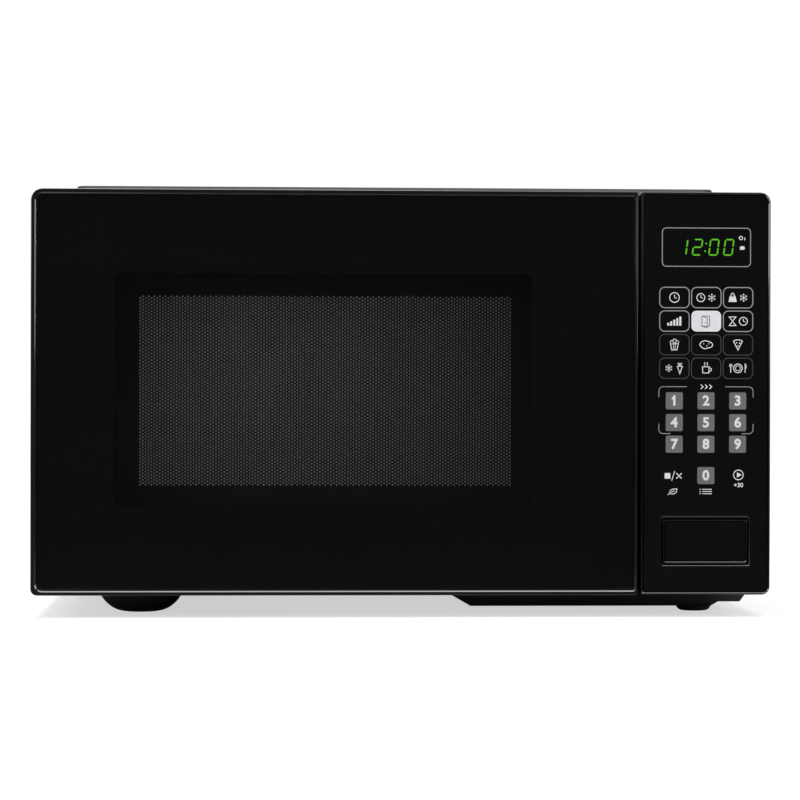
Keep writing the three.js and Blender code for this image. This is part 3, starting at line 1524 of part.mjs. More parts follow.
// A bell crank on its own shaft: the button's stem pushes the long arm, and the nose lifts the hook.
function releaseLever() {
  const tip = { y: hookTip - HOOK_BARB_LENGTH / 2, z: HOOK_LOW - HOOK_BARB - RUNNING, half: 1.2 };
  const r = LEVER_SHAFT;
  const nose = polygon([
    [lever.y - r, lever.z - 1],
    [lever.y + r, lever.z - r],
    [tip.y + 2, tip.z - 4],
    [tip.y + tip.half, tip.z],
    [tip.y - tip.half, tip.z],
    [lever.y + 4, lever.z + 5],
    [lever.y - 1, lever.z + r],
  ]);
  const arm = polygon([
    [lever.y - r, stemZ - 4],
    [lever.y + 1, stemZ - 4],
    [lever.y + r, lever.z],
    [lever.y, lever.z + r],
    [lever.y - r, lever.z],
  ]);
  return join(
    rod("X", lever.y, lever.z, r, noseX.x0, leverEnd),
    prism("X", nose, noseX.x0, noseX.x1),
    prism("X", arm, stemX - 4, leverEnd),
  );
}
oven.add(mesh("release_lever", releaseLever(), "whitePlastic"));

// The lever's return spring, wound round its shaft between the eyes.
function leverSpring() {
  const x0 = bracket.eyes[0] + eye + FIT + SPRING_WIRE / 2;
  const x1 = bracket.eyes[1] - FIT - SPRING_WIRE / 2;
  const wound = coil(LEVER_SHAFT + FIT + SPRING_WIRE / 2, SPRING_WIRE, 5, x1 - x0);
  return placed(wound, [x0, lever.y, lever.z], "Y", Math.PI / 2);
}
oven.add(mesh("lever_spring", leverSpring(), "steel"));

// A snap-action switch lying behind a hook's tip: its plunger faces the tip.
function interlockSwitch(tipZ, towards) {
  const plunger = { radius: 1.6, proud: 1.6, x: 3.4 };
  const body = { long: 28, deep: 16, thick: 10.3 };
  const x0 = bracket.wall1 + FIT;
  const y0 = hookTip + FIT + plunger.proud;
  const y1 = y0 + body.deep;
  const z0 = towards > 0 ? tipZ - 4 : tipZ + 4 - body.long;
  const terminals = [4, body.long / 2, body.long - 6].map((dz) =>
    box(x0 + 4, x0 + 4.8, y1 - BITE, y1 + 7, z0 + dz, z0 + dz + 4),
  );
  const hole = (dz) => rod("X", y1 - 4, z0 + dz, 1.6, x0 - PAST, x0 + body.thick + PAST, FEW);
  return cut(
    join(
      prism("X", roundedRect(y0, z0, y1, z0 + body.long, 1), x0, x0 + body.thick),
      rod("Y", x0 + plunger.x, tipZ, plunger.radius, y0 - plunger.proud, y0 + PAST, FEW),
      terminals,
    ),
    [4, body.long - 4].map(hole),
  );
}
const tips = hooks.map((z) => z + (HOOK_DEPTH - HOOK_BARB) / 2);
const apart = 4.2; // the upper hook works two switches, above and below its middle
oven.add(
  mesh("secondary_switch", interlockSwitch(tips[0], 1), "blackPlastic"),
  mesh("primary_switch", interlockSwitch(tips[1] - apart, -1), "blackPlastic"),
  mesh("monitor_switch", interlockSwitch(tips[1] + apart, 1), "whitePlastic"),
);

// ---------------------------------------------------------------- control panel

const housingBack = plateY - FIT;
const button = {
  x0: panelX - BUTTON_WIDTH / 2,
  x1: panelX + BUTTON_WIDTH / 2,
  z0: BUTTON_CENTRE - BUTTON_HEIGHT / 2,
  z1: BUTTON_CENTRE + BUTTON_HEIGHT / 2,
};
const buttonOutline = (grow) =>
  roundedRect(button.x0 - grow, button.z0 - grow, button.x1 + grow, button.z1 + grow, 2 + grow);
const membraneLow = button.z1 + 6;
const displayZ = head - DISPLAY_DROP;
const displayOutline = (grow) =>
  roundedRect(
    panelX - DISPLAY_WIDTH / 2 - grow,
    displayZ - DISPLAY_HEIGHT / 2 - grow,
    panelX + DISPLAY_WIDTH / 2 + grow,
    displayZ + DISPLAY_HEIGHT / 2 + grow,
    1,
  );
const membraneOutline = (inset) =>
  roundedRect(
    panelLeft + MEMBRANE_MARGIN + inset,
    membraneLow + inset,
    right - MEMBRANE_MARGIN - inset,
    head - MEMBRANE_MARGIN - inset,
    2,
  );
const panelOutline = (inset) =>
  roundedRect(panelLeft + inset, sill + inset, right - inset, head - inset, [
    cornerOf(MEETING_CORNER, inset),
    cornerOf(LOW_CORNER, inset),
    cornerOf(TOP_CORNER - 1, inset),
    cornerOf(MEETING_CORNER, inset),
  ]);
const board = {
  x0: panelLeft + 6,
  x1: right - 6,
  z0: head - 150,
  z1: head - 12,
  y: front + MEMBRANE + SHELL + 11,
};
const boardHoles = [board.x0 + 5, board.x1 - 5].flatMap((x) =>
  [board.z0 + 5, board.z1 - 5].map((z) => [x, z]),
);

function controlHousing() {
  const wallBack = front + MEMBRANE + SHELL;
  const collar = { wall: 1.5, back: front + 16 };
  return join(
    cut(
      loft("Y", [
        [panelOutline(EDGE_CHAMFER), front],
        [panelOutline(EDGE_CHAMFER / 4), front + EDGE_CHAMFER / 3],
        [panelOutline(0), front + EDGE_CHAMFER],
        [panelOutline(0), housingBack],
      ]),
      prism("Y", membraneOutline(0), front - PAST, front + MEMBRANE + FIT),
      prism("Y", displayOutline(FIT), front, wallBack + PAST),
      prism("Y", buttonOutline(BUTTON_FRAME), front - PAST, front + 1.2),
      prism("Y", buttonOutline(RUNNING), front, wallBack + PAST),
      prism("Y", panelOutline(SHELL), wallBack, housingBack + PAST),
    ),
    cut(
      prism("Y", buttonOutline(RUNNING + collar.wall), wallBack - BITE, collar.back),
      prism("Y", buttonOutline(RUNNING), front, collar.back + PAST),
    ),
    boardHoles.map(([x, z]) => rod("Y", x, z, 3.2, wallBack - BITE, board.y - FIT, FEW)),
  );
}
oven.add(mesh("control_housing", controlHousing(), "blackPlastic"));

const membrane = prism("Y", membraneOutline(FIT), front, front + MEMBRANE);
oven.add(mesh("keypad_membrane", membrane, "blackGloss"));

// The display stands on the board and reaches through the moulding to the back of the membrane.
const display = join(
  prism("Y", displayOutline(0), front + MEMBRANE + FIT, board.y - FIT),
  prism("Y", displayOutline(1.5), front + MEMBRANE + SHELL + 1, board.y - FIT),
);
oven.add(mesh("display_module", display, "blackGloss"));

function controlBoard() {
  const { x0, x1, z0, z1, y } = board;
  const back = y + BOARD;
  const part = (dx0, dx1, high, low, top) =>
    box(x0 + dx0, x0 + dx1, back - BITE, back + high, low, top);
  const relays = range(3).map((i) => part(6 + i * 21, 22 + i * 21, 15, z0 + 12, z0 + 32));
  const can = (z, radius, high) => rod("Y", x1 - 14, z, radius, back - BITE, back + high, 12);
  return cut(
    join(
      prism("Y", roundedRect(x0, z0, x1, z1, 2), y, back),
      relays,
      part(8, 42, 14, z0 + 44, z0 + 72), // transformer
      can(z0 + 56, 6.5, 9),
      can(z0 + 76, 5, 12),
      part(12, 44, 4, z1 - 46, z1 - 36), // controller
      part(12, x1 - x0 - 12, 6, z1 - 20, z1 - 12), // keypad connector
    ),
    boardHoles.map(([x, z]) => rod("Y", x, z, 1.6, y - PAST, back + PAST, FEW)),
  );
}
oven.add(mesh("control_board", controlBoard(), "circuit"));

// A hollow cap in the moulding's collar, with a stem that ends at the release lever.
function doorOpenButton() {
  const face = front + 0.3;
  const skirt = front + 13;
  const wall = 1.8;
  const rib = 0.8;
  const stemEnd = lever.y - LEVER_SHAFT - FIT;
  const cone = [
    [0, -STEM - BITE],
    [STEM, -STEM - BITE],
    [STEM, -STEM],
    [STEM / 3, 0],
    [0, 0],
  ];
  return join(
    cut(
      loft("Y", [
        [buttonOutline(-1), face],
        [buttonOutline(-0.3), face + 0.3],
        [buttonOutline(0), face + 1],
        [buttonOutline(0), skirt],
      ]),
      prism("Y", buttonOutline(-wall), face + 2.2, skirt + PAST),
    ),
    rod("Y", stemX, stemZ, STEM, face + 1, stemEnd - STEM, 12),
    placed(turned(cone, 12, "Y"), [stemX, stemEnd, stemZ]),
    box(stemX - rib, stemX + rib, face + 1, skirt + 6, button.z0 + 1, button.z1 - 1),
  );
}
oven.add(mesh("door_open_button", doorOpenButton(), "blackPlastic"));

export default oven;
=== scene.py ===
"""Looks for the microwave oven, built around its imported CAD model. Shapes are drawn in mm."""
import json
import math

import bmesh
import bpy
from mathutils import Matrix, Vector

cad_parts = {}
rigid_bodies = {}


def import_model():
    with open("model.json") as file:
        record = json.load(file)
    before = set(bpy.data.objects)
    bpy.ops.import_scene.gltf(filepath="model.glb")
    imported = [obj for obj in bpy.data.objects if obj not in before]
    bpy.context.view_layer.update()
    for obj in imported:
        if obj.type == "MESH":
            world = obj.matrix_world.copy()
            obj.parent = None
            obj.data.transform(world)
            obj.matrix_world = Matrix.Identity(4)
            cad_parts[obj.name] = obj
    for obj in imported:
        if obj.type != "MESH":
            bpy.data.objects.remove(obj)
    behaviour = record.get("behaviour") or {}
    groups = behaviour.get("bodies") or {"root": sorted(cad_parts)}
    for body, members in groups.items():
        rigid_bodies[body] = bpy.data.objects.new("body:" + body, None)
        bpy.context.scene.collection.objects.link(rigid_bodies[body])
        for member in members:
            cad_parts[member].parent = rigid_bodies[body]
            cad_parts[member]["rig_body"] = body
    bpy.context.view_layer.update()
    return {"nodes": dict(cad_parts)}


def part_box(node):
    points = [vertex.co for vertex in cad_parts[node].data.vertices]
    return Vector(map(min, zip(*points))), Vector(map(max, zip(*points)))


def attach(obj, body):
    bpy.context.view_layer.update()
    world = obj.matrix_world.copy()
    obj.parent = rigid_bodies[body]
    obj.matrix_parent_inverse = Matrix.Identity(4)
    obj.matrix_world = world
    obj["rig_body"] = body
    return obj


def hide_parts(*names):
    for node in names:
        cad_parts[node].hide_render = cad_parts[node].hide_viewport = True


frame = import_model()

MM = 0.001
QUARTER, FULL_TURN = math.pi / 2, 2 * math.pi

nodes = frame["nodes"]
boxes = {name: tuple(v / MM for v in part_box(name)) for name in nodes}


def span(name):
    """x0, x1, y0, y1, z0, z1 of a CAD node, in mm."""
    low, high = boxes[name]
    return low.x, high.x, low.y, high.y, low.z, high.z


def front_of(name):
    """The front of a CAD node as a rectangle: x0, z0, x1, z1."""
    x0, x1, _, _, z0, z1 = span(name)
    return x0, z0, x1, z1


def depths(name):
    """The front and the back of a CAD node, along y."""
    low, high = boxes[name]
    return low.y, high.y


def within(rect, left, low, right, high):
    """A rectangle inside another, by its margins."""
    x0, z0, x1, z1 = rect
    return x0 + left, z0 + low, x1 - right, z1 - high


def shrunk(rect, by):
    """A rectangle inside another, by the same margin all round."""
    return within(rect, by, by, by, by)


# ---- materials

# Sockets of a Mix node for colours, which share their names with other sockets.
MIX_FACTOR, MIX_A, MIX_B, MIX_RESULT = 0, 6, 7, 2


class Shader:
    """A node tree, with helpers that add nodes, join them and return their outputs."""

    def __init__(self, owner):
        owner.use_nodes = True
        self.owner = owner
        self.tree = owner.node_tree
        self.tree.nodes.clear()

    def add(self, kind, inputs=None, **attributes):
        """A new node, with values for its sockets and for the node itself."""
        node = self.tree.nodes.new(f"ShaderNode{kind}")
        for key, value in attributes.items():
            setattr(node, key, value)
        for key, value in (inputs or {}).items():
            node.inputs[key].default_value = value
        return node

    def link(self, output, node, socket):
        self.tree.links.new(output, node.inputs[socket])

    def principled(self, inputs):
        main = self.add("BsdfPrincipled", inputs)
        self.link(main.outputs["BSDF"], self.add("OutputMaterial"), "Surface")
        return main

    def noise(self, scale, detail, rough, stretch=None):
        texture = self.add("TexNoise", {"Scale": scale, "Detail": detail, "Roughness": rough})
        place = self.add("TexCoord").outputs["Object"]
        if stretch:
            mapping = self.add("Mapping", {"Scale": stretch})
            self.link(place, mapping, "Vector")
            place = mapping.outputs["Vector"]
        self.link(place, texture, "Vector")
        return texture.outputs["Fac"]

    def ranged(self, value, old, new=(0, 1)):
        """The value, carried from one range to another and clamped."""
        limits = {"From Min": old[0], "From Max": old[1], "To Min": new[0], "To Max": new[1]}
        node = self.add("MapRange", limits)
        self.link(value, node, "Value")
        return node.outputs["Result"]

    def maths(self, operation, first, second, **attributes):
        node = self.add("Math", operation=operation, **attributes)
        self.link(first, node, 0)
        self.link(second, node, 1)
        return node.outputs["Value"]

    def mixed(self, factor, first, second):
        """A mix of two colours, each a tuple or an output."""
        node = self.add("Mix", data_type="RGBA")
        self.link(factor, node, MIX_FACTOR)
        for socket, value in ((MIX_A, first), (MIX_B, second)):
            if isinstance(value, tuple):
                node.inputs[socket].default_value = (*value, 1)
            else:
                self.link(value, node, socket)
        return node.outputs[MIX_RESULT]

    def bump(self, height, main, strength, depth):
        node = self.add("Bump", {"Strength": strength, "Distance": depth * MM})
        self.link(height, node, "Height")
        self.link(node.outputs["Normal"], main, "Normal")
        return node


def scaled(colour, by):
    return tuple(min(1.0, c * by) for c in colour)


def finish(
    name, colour, rough=(0.3, 0.45), grain=900, depth=0.02, mottle=0.12, metal=0.0, spec=0.5, coat=0.0,
    edge=0.35, worn=0.25, streak=None, glow=None, specks=None,
):
    """A painted, moulded or plated surface: mottled colour, patchy gloss, fine grain, edges rubbed paler.

    rough is the range of its roughness. grain and depth are the scale and the depth of its bumps. mottle is
    how much its colour varies. edge is the radius of the rubbed edges, or 0, and worn is their strength.
    streak stretches the noises. glow is (colour, strength), and specks is (colour, scale, threshold).
    """
    s = Shader(bpy.data.materials.new(name))
    main = s.principled({
        "Metallic": metal, "Specular IOR Level": spec, "Coat Weight": coat, "Coat Roughness": 0.08
    })
    clouds = s.noise(scale=14, detail=4, rough=0.6, stretch=streak)
    paint = s.mixed(s.ranged(clouds, (0.3, 0.7)), scaled(colour, 1 - mottle), scaled(colour, 1 + mottle))
    if specks:
        speck_colour, speck_scale, threshold = specks
        dots = s.noise(scale=speck_scale, detail=1, rough=0.4)
        paint = s.mixed(s.ranged(dots, (threshold, threshold + 0.03)), paint, speck_colour)

    patches = s.noise(scale=45, detail=6, rough=0.62, stretch=streak)
    s.link(s.ranged(patches, (0.3, 0.72), rough), main, "Roughness")
    fine = s.noise(scale=grain, detail=3, rough=0.55, stretch=streak)
    bump = s.bump(fine, main, strength=0.5, depth=depth)

    if edge:
        rounded = s.add("Bevel", {"Radius": edge * MM}, samples=4).outputs["Normal"]
        s.link(rounded, bump, "Normal")
        facing = s.add("VectorMath", operation="DOT_PRODUCT")
        s.link(rounded, facing, 0)
        s.link(s.add("NewGeometry").outputs["Normal"], facing, 1)
        near_edge = s.ranged(facing.outputs["Value"], (0.995, 0.86))
        ragged = s.ranged(s.noise(scale=160, detail=4, rough=0.7), (0.42, 0.62), (0, worn))
        rubbed = s.maths("MULTIPLY", near_edge, ragged, use_clamp=True)
        paint = s.mixed(rubbed, paint, scaled(tuple(c + 0.02 for c in colour), 1.6))
    s.link(paint, main, "Base Color")
    if glow:
        glow_colour, strength = glow
        main.inputs["Emission Color"].default_value = (*glow_colour, 1)
        main.inputs["Emission Strength"].default_value = strength
    return s.owner


def glass(name, colour, alpha, rough=(0.02, 0.09), wave_depth=0.0):
    """Glass or clear plastic with a few faint smears."""
    s = Shader(bpy.data.materials.new(name))
    main = s.principled({"Base Color": (*colour, 1), "Alpha": alpha, "IOR": 1.5})
    smears = s.noise(scale=20, detail=5, rough=0.6, stretch=(1, 1, 2.4))
    s.link(s.ranged(smears, (0.45, 0.75), rough), main, "Roughness")
    if wave_depth:
        s.bump(s.noise(scale=60, detail=2, rough=0.5), main, strength=0.3, depth=wave_depth)
    return s.owner


BRUSHED, ROLLED = (1, 60, 60), (1, 7, 7)  # the grain of sheet metal runs along x
GLOSSY = dict(colour=(0.0028, 0.0028, 0.003), grain=700, mottle=0.2)
FILMED = dict(colour=(0.0018, 0.0018, 0.0019), depth=0.003, mottle=0.2, edge=0)
FINISHES = {
    # those of the record's slots
    "cabinet_paint": dict(
        colour=(0.006, 0.006, 0.0064), rough=(0.43, 0.47), grain=1700, depth=0.035, mottle=0.1
    ),
    "cavity_enamel": dict(
        colour=(0.42, 0.42, 0.415), rough=(0.27, 0.33), mottle=0.02, edge=0.5, worn=0.1,
        specks=((0.33, 0.34, 0.34), 2200, 0.68),
    ),
    "zinc_sheet": dict(
        colour=(0.42, 0.43, 0.44), rough=(0.38, 0.46), grain=420, depth=0.012, mottle=0.06,
        metal=1, edge=0.3, streak=ROLLED,
    ),
    "steel": dict(
        colour=(0.40, 0.41, 0.42), rough=(0.25, 0.42), grain=500, mottle=0.15, metal=1, streak=BRUSHED
    ),
    "screen_paint": dict(colour=(0.004, 0.004, 0.0042), rough=(0.45, 0.6), grain=1200, spec=0.35, edge=0),
    "door_plastic": dict(GLOSSY, rough=(0.08, 0.16), depth=0.004, edge=0.6, worn=0.02),
    "panel_plastic": dict(GLOSSY, rough=(0.12, 0.22), depth=0.006, edge=0.6, worn=0.03),
    "key_film": dict(FILMED, rough=(0.12, 0.18), grain=1100, spec=0.4),
    "white_plastic": dict(colour=(0.72, 0.70, 0.65), rough=(0.35, 0.5), grain=500, mottle=0.05),
    "grey_plastic": dict(colour=(0.16, 0.16, 0.17), rough=(0.35, 0.5), grain=600),
    "black_plastic": dict(colour=(0.014, 0.014, 0.014), rough=(0.38, 0.52), grain=800),
    "rubber": dict(colour=(0.015, 0.015, 0.015), rough=(0.5, 0.65), depth=0.05, mottle=0.2, edge=0.5),
    "winding": dict(colour=(0.40, 0.15, 0.06), rough=(0.25, 0.4), grain=300, depth=0.03, metal=1),
    "circuit": dict(colour=(0.03, 0.13, 0.05), grain=420, depth=0.03, mottle=0.2),
    "mica": dict(
        colour=(0.42, 0.34, 0.24), rough=(0.45, 0.65), grain=240, depth=0.04, mottle=0.14, worn=0.1
    ),
    # those of single pieces
    "panel_gloss": dict(FILMED, rough=(0.08, 0.13), grain=700, spec=0.42),
    "rim_gloss": dict(GLOSSY, rough=(0.04, 0.09), depth=0.002, coat=1.0, edge=0),
    "mask_black": dict(colour=(0.003, 0.003, 0.0032), rough=(0.05, 0.09), depth=0.0, mottle=0.15, edge=0),
    "base_black": dict(colour=(0.045, 0.045, 0.046), rough=(0.4, 0.48), grain=1700, depth=0.03, mottle=0.1),
}
GLASSES = {
    "door_glass": dict(colour=(0.002, 0.002, 0.0022), alpha=0.22, rough=(0.015, 0.05)),
    "clear_film": dict(colour=(0.10, 0.10, 0.105), alpha=0.18, rough=(0.1, 0.16)),
    "tray_glass": dict(colour=(0.62, 0.69, 0.67), alpha=0.24, rough=(0.02, 0.06), wave_depth=0.05),
    "bulb_glass": dict(colour=(0.85, 0.85, 0.8), alpha=0.35),
}
INKS = {
    "pale": (0.30, 0.30, 0.31), "dim": (0.045, 0.045, 0.047), "white": (0.78, 0.78, 0.80),
    "tile": (0.16, 0.16, 0.165), "key": (0.80, 0.80, 0.82), "shade": (0.17, 0.17, 0.18),
    "lit": (0.02, 0.12, 0.004),
}
GLOWS = {"lit": ((0.10, 0.5, 0.008), 0.8)}
LOOKS = {name: finish(name, **values) for name, values in FINISHES.items()}
LOOKS.update((name, glass(name, **values)) for name, values in GLASSES.items())
for tone, colour in INKS.items():
    LOOKS[f"ink_{tone}"] = finish(
        f"ink_{tone}", colour, (0.35, 0.5), 1500, depth=0.004, mottle=0.06, edge=0, glow=GLOWS.get(tone)
    )

slot_of = {name: node.data.materials[0].name.split(".")[0] for name, node in nodes.items()}
for name, node in nodes.items():
    node.data.materials[0] = LOOKS[slot_of[name]]

# ---- mesh helpers

FLAT_TURN = math.radians(0.6)  # faces that turn less than this count as one flat area
BEVEL_TURN = math.radians(28)  # edges that turn more than this are rounded
SEAM = 2e-6  # metres within which the corners of CAD faces join
CUT_SEAM = 5e-6  # and those that a cut leaves
PRINT_SEAM = 1e-5  # mm, for the corners of the prints
LEAST_RADIUS = 0.3  # of a corner that is drawn in
MITRE = 0.35  # least cosine at the corners of a printed line, which limits how far they are drawn out


def flat_areas(bm):
    """The flat area that each face belongs to, and the size of each flat area."""
    area_of, sizes = [-1] * len(bm.faces), []
    for seed in bm.faces:
        if area_of[seed.index] >= 0:
            continue
        area_of[seed.index] = len(sizes)
        size, stack = 0.0, [seed]
        while stack:
            face = stack.pop()
            size += face.calc_area()
            for edge in face.edges:
                for other in edge.link_faces:
                    if area_of[other.index] < 0 and seed.normal.dot(other.normal) > math.cos(FLAT_TURN):
                        area_of[other.index] = len(sizes)
                        stack.append(other)
        sizes.append(size)
    return area_of, sizes


def fans(vert):
    """The corners round a vertex, in groups that no sharp edge divides."""
    left = list(vert.link_loops)
    while left:
        fan = [left.pop()]
        for corner in fan:  # fan grows as its neighbours are found
            for edge in (corner.edge, corner.link_loop_prev.edge):
                if edge.smooth:
                    near = [c for f in edge.link_faces for c in f.loops if c.vert is vert and c in left]
                    left = [c for c in left if c not in near]
                    fan += near
        yield fan


def level(mesh, turn):
    """Sets the normals from whole flat areas by size, so large faces stay flat beside rounded edges."""
    bm = bmesh.new()
    bm.from_mesh(mesh)
    area_of, sizes = flat_areas(bm)
    near = math.cos(math.radians(turn))
    normal_of = {}
    for vert in bm.verts:
        for fan in fans(vert):
            face_of = {area_of[c.face.index]: c.face for c in fan}
            flats = [(face.normal, sizes[area]) for area, face in face_of.items()]
            for corner in fan:
                own = corner.face.normal
                normal = sum((n * size for n, size in flats if n.dot(own) > near), Vector())
                normal_of[corner] = (normal if normal.length > 1e-12 else vert.normal).normalized()
    mesh.normals_split_custom_set([normal_of[c] for f in bm.faces for c in f.loops])
    bm.free()


def new_piece(name, mesh, body, slot, look=None, smooth=35, replaces=()):
    """A finished piece that rides on its body; edges that turn less than smooth degrees look smooth."""
    if smooth:
        mesh.shade_smooth()
        mesh.set_sharp_from_angle(angle=math.radians(smooth))
        level(mesh, smooth)
    mesh.name = name
    piece = bpy.data.objects.new(name, mesh)
    bpy.context.scene.collection.objects.link(piece)
    mesh.materials.clear()
    mesh.materials.append(LOOKS[look or slot])
    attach(piece, body)
    if replaces:
        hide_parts(*replaces)


def stand_in(name, kind, mesh, look=None, slot=None):
    """A piece that replaces a CAD node and rides on its body."""
    body, slot = nodes[name]["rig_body"], slot or slot_of[name]
    new_piece(f"{name}_{kind}", mesh, body, slot, look, smooth=40, replaces=(name,))


def from_bmesh(bm, scale=MM):
    """A mesh in metres, from a bmesh in mm unless its scale is given. The bmesh is used up."""
    bmesh.ops.transform(bm, matrix=Matrix.Scale(scale, 4), verts=bm.verts)
    mesh = bpy.data.meshes.new("mesh")
    bm.to_mesh(mesh)
    bm.free()
    return mesh


def outward(bm):
    """A mesh from a bmesh in mm, with its faces turned outward."""
    bmesh.ops.recalc_face_normals(bm, faces=bm.faces)
    return from_bmesh(bm)


def node_copy(name):
    """The mesh of a CAD node as a bmesh in metres, with its faces joined."""
    bm = bmesh.new()
    bm.from_mesh(nodes[name].data)
    bmesh.ops.remove_doubles(bm, verts=bm.verts, dist=SEAM)
    return bm


def merge_flats(bm):
    bmesh.ops.dissolve_limit(bm, angle_limit=FLAT_TURN, verts=bm.verts, edges=bm.edges)


def split_large(bm):
    bmesh.ops.triangulate(bm, faces=[f for f in bm.faces if len(f.verts) > 4])


def refined(name, width, change=None):
    """A copy of a CAD node whose edges are broken with a small rounded bevel."""
    bm = node_copy(name)
    if change:
        change(bm)
    merge_flats(bm)
    bm.normal_update()
    edges = [e for e in bm.edges if e.is_manifold and e.calc_face_angle(0) > BEVEL_TURN]
    bmesh.ops.bevel(
        bm, geom=edges, offset=width * MM, offset_type="OFFSET", segments=2, profile=0.6,
        affect="EDGES", clamp_overlap=True, loop_slide=False, miter_outer="SHARP",
    )
    split_large(bm)
    return from_bmesh(bm, 1)


def carved(mesh, cutter_mesh):
    """The mesh with a closed cutter taken from it."""
    whole = bpy.data.objects.new("whole", mesh)
    cutter = bpy.data.objects.new("cutter", cutter_mesh)
    for o in (whole, cutter):
        bpy.context.scene.collection.objects.link(o)
    cut = whole.modifiers.new("cut", "BOOLEAN")
    cut.operation, cut.object, cut.solver = "DIFFERENCE", cutter, "EXACT"
    graph = bpy.context.evaluated_depsgraph_get()
    result = bpy.data.meshes.new_from_object(whole.evaluated_get(graph))
    for o in (whole, cutter):
        bpy.data.objects.remove(o)
    bm = bmesh.new()
    bm.from_mesh(result)
    bmesh.ops.remove_doubles(bm, verts=bm.verts, dist=CUT_SEAM)
    bmesh.ops.dissolve_degenerate(bm, edges=bm.edges, dist=CUT_SEAM)
    merge_flats(bm)
    split_large(bm)
    bm.to_mesh(result)
    bm.free()
    return result


def circle(x, z, r, steps=20, start=0.0, turn=FULL_TURN):
    """Points round a circle, or along an arc with both its ends."""
    count = steps if turn == FULL_TURN else steps + 1
    angles = (start + turn * i / steps for i in range(count))
    return [(x + r * math.cos(a), z + r * math.sin(a)) for a in angles]


def outline(x0, z0, x1, z1, radii, steps=6):
    """A rounded rectangle, anticlockwise from its lower left corner; radii run from there too."""
    if not isinstance(radii, tuple):
        radii = (radii,) * 4
    corners = (
        (x0, z0, 1, 1, math.pi), (x1, z0, -1, 1, 3 * QUARTER), (x1, z1, -1, -1, 0), (x0, z1, 1, -1, QUARTER)
    )
    points = []
    for (x, z, sx, sz, start), r in zip(corners, radii):
        for i in range(steps + 1):
            a = start + i / steps * QUARTER
            points.append((x + sx * r + r * math.cos(a), z + sz * r + r * math.sin(a)))
    return points


def inset(rect, radii, by, cut=None, steps=6):
    """The outline of a rectangle drawn in all round, its radii cut by as much unless cut is given."""
    cut = by if cut is None else cut
    radii = tuple(max(r - cut, LEAST_RADIUS) for r in radii)
    return outline(*shrunk(rect, by), radii, steps)


def bridged(bm, rings, closed=False):
    """Faces between each ring and the next; a ring of one vertex is a tip."""
    for a, b in zip(rings, rings[1:] + rings[:1] if closed else rings[1:]):
        count = max(len(a), len(b))
        for i in range(count):
            j = (i + 1) % count
            if len(a) == 1:
                bm.faces.new((a[0], b[j], b[i]))
            elif len(b) == 1:
                bm.faces.new((a[i], a[j], b[0]))
            else:
                bm.faces.new((a[i], a[j], b[j], b[i]))


def lofted(bm, rings):
    """A closed solid through rings of equal count."""
    bridged(bm, rings)
    bm.faces.new(rings[0][::-1])
    bm.faces.new(rings[-1])


def rings_at(bm, loops):
    """Rings of vertices from loops, each as (outline points in x and z, y)."""
    return [[bm.verts.new((x, y, z)) for x, z in points] for points, y in loops]


def slab(loops):
    """A closed solid through loops."""
    bm = bmesh.new()
    lofted(bm, rings_at(bm, loops))
    return outward(bm)


def hoop(loops):
    """A closed ring through loops, the last joined to the first."""
    bm = bmesh.new()
    bridged(bm, rings_at(bm, loops), closed=True)
    return outward(bm)


def box_mesh(rect, front, back):
    x0, z0, x1, z1 = rect
    corners = ((x0, z0), (x1, z0), (x1, z1), (x0, z1))
    return slab(((corners, front), (corners, back)))


def turned(bm, profile, steps, place):
    """A closed solid of revolution: profile points are (radius, height) and both ends lie on the axis."""
    rings = []
    for r, height in profile:
        spots = circle(0, 0, r, steps) if r else [(0, 0)]
        rings.append([bm.verts.new(place(a, b, height)) for a, b in spots])
    bridged(bm, rings)


def lathe(profile, centre, steps):
    """A turned solid about an upright axis."""
    bm = bmesh.new()
    x, y = centre
    turned(bm, profile, steps, lambda a, b, z: (x + a, y + b, z))
    return outward(bm)


def about_y(bm, profile, x, z, steps=40):
    """A turned solid about an axis along y."""
    turned(bm, profile, steps, lambda a, b, y: (x + a, y, z + b))


def bend(a, b, c, steps):
    """Points on a curve from a to c, which b draws towards itself."""
    a, b, c = Vector(a), Vector(b), Vector(c)
    times = (i / steps for i in range(steps + 1))
    return [tuple((1 - t) ** 2 * a + 2 * t * (1 - t) * b + t * t * c) for t in times]


def softened(points, radius):
    """Rounds the inner corners of an open profile with short arcs."""
    rounded = [points[0]]
    for before, here, after in zip(points, points[1:], points[2:]):
        a, b, c = Vector(before), Vector(here), Vector(after)
        cut = min(radius, (a - b).length * 0.45, (c - b).length * 0.45)
        rounded += bend(b + (a - b).normalized() * cut, b, b + (c - b).normalized() * cut, 4)
    return rounded + [points[-1]]


def ribbon(bm, points, width, front, back, closed=False):
    """A flat printed line of even width along points in x and z."""
    points = [Vector(p) for p in points]
    ways = [(b - a).normalized() for a, b in zip(points, points[1:] + points[:1] if closed else points[1:])]
    rings = []
    for i, here in enumerate(points):
        first = ways[i - 1] if (i or closed) else ways[0]
        second = ways[i] if i < len(ways) else ways[-1]
        middle = (first + second).normalized()
        across = Vector((-middle.y, middle.x))
        cosine = max(MITRE, across.dot(Vector((-first.y, first.x))))
        reach = across * width / 2 / cosine
        left, right = here + reach, here - reach
        corners = ((left, back), (left, front), (right, front), (right, back))
        rings.append([bm.verts.new((p.x, y, p.y)) for p, y in corners])
    if closed:
        bridged(bm, rings, closed=True)
    else:
        lofted(bm, rings)


# ---- door and shells

door_front = depths("door_frame")[0]
glass_front, glass_back = depths("door_glass")
panel_front = depths("control_housing")[0]
DOOR, GLASS = front_of("door_frame"), front_of("door_glass")
DOOR_RADII, GLASS_RADII = (4.0, 1.5, 1.5, 7.0), (3.9, 0.8, 0.8, 3.9)
RIM_BACK = 1.1  # depth of the moulded rim round the door's glass
CORNER_STEPS = 8

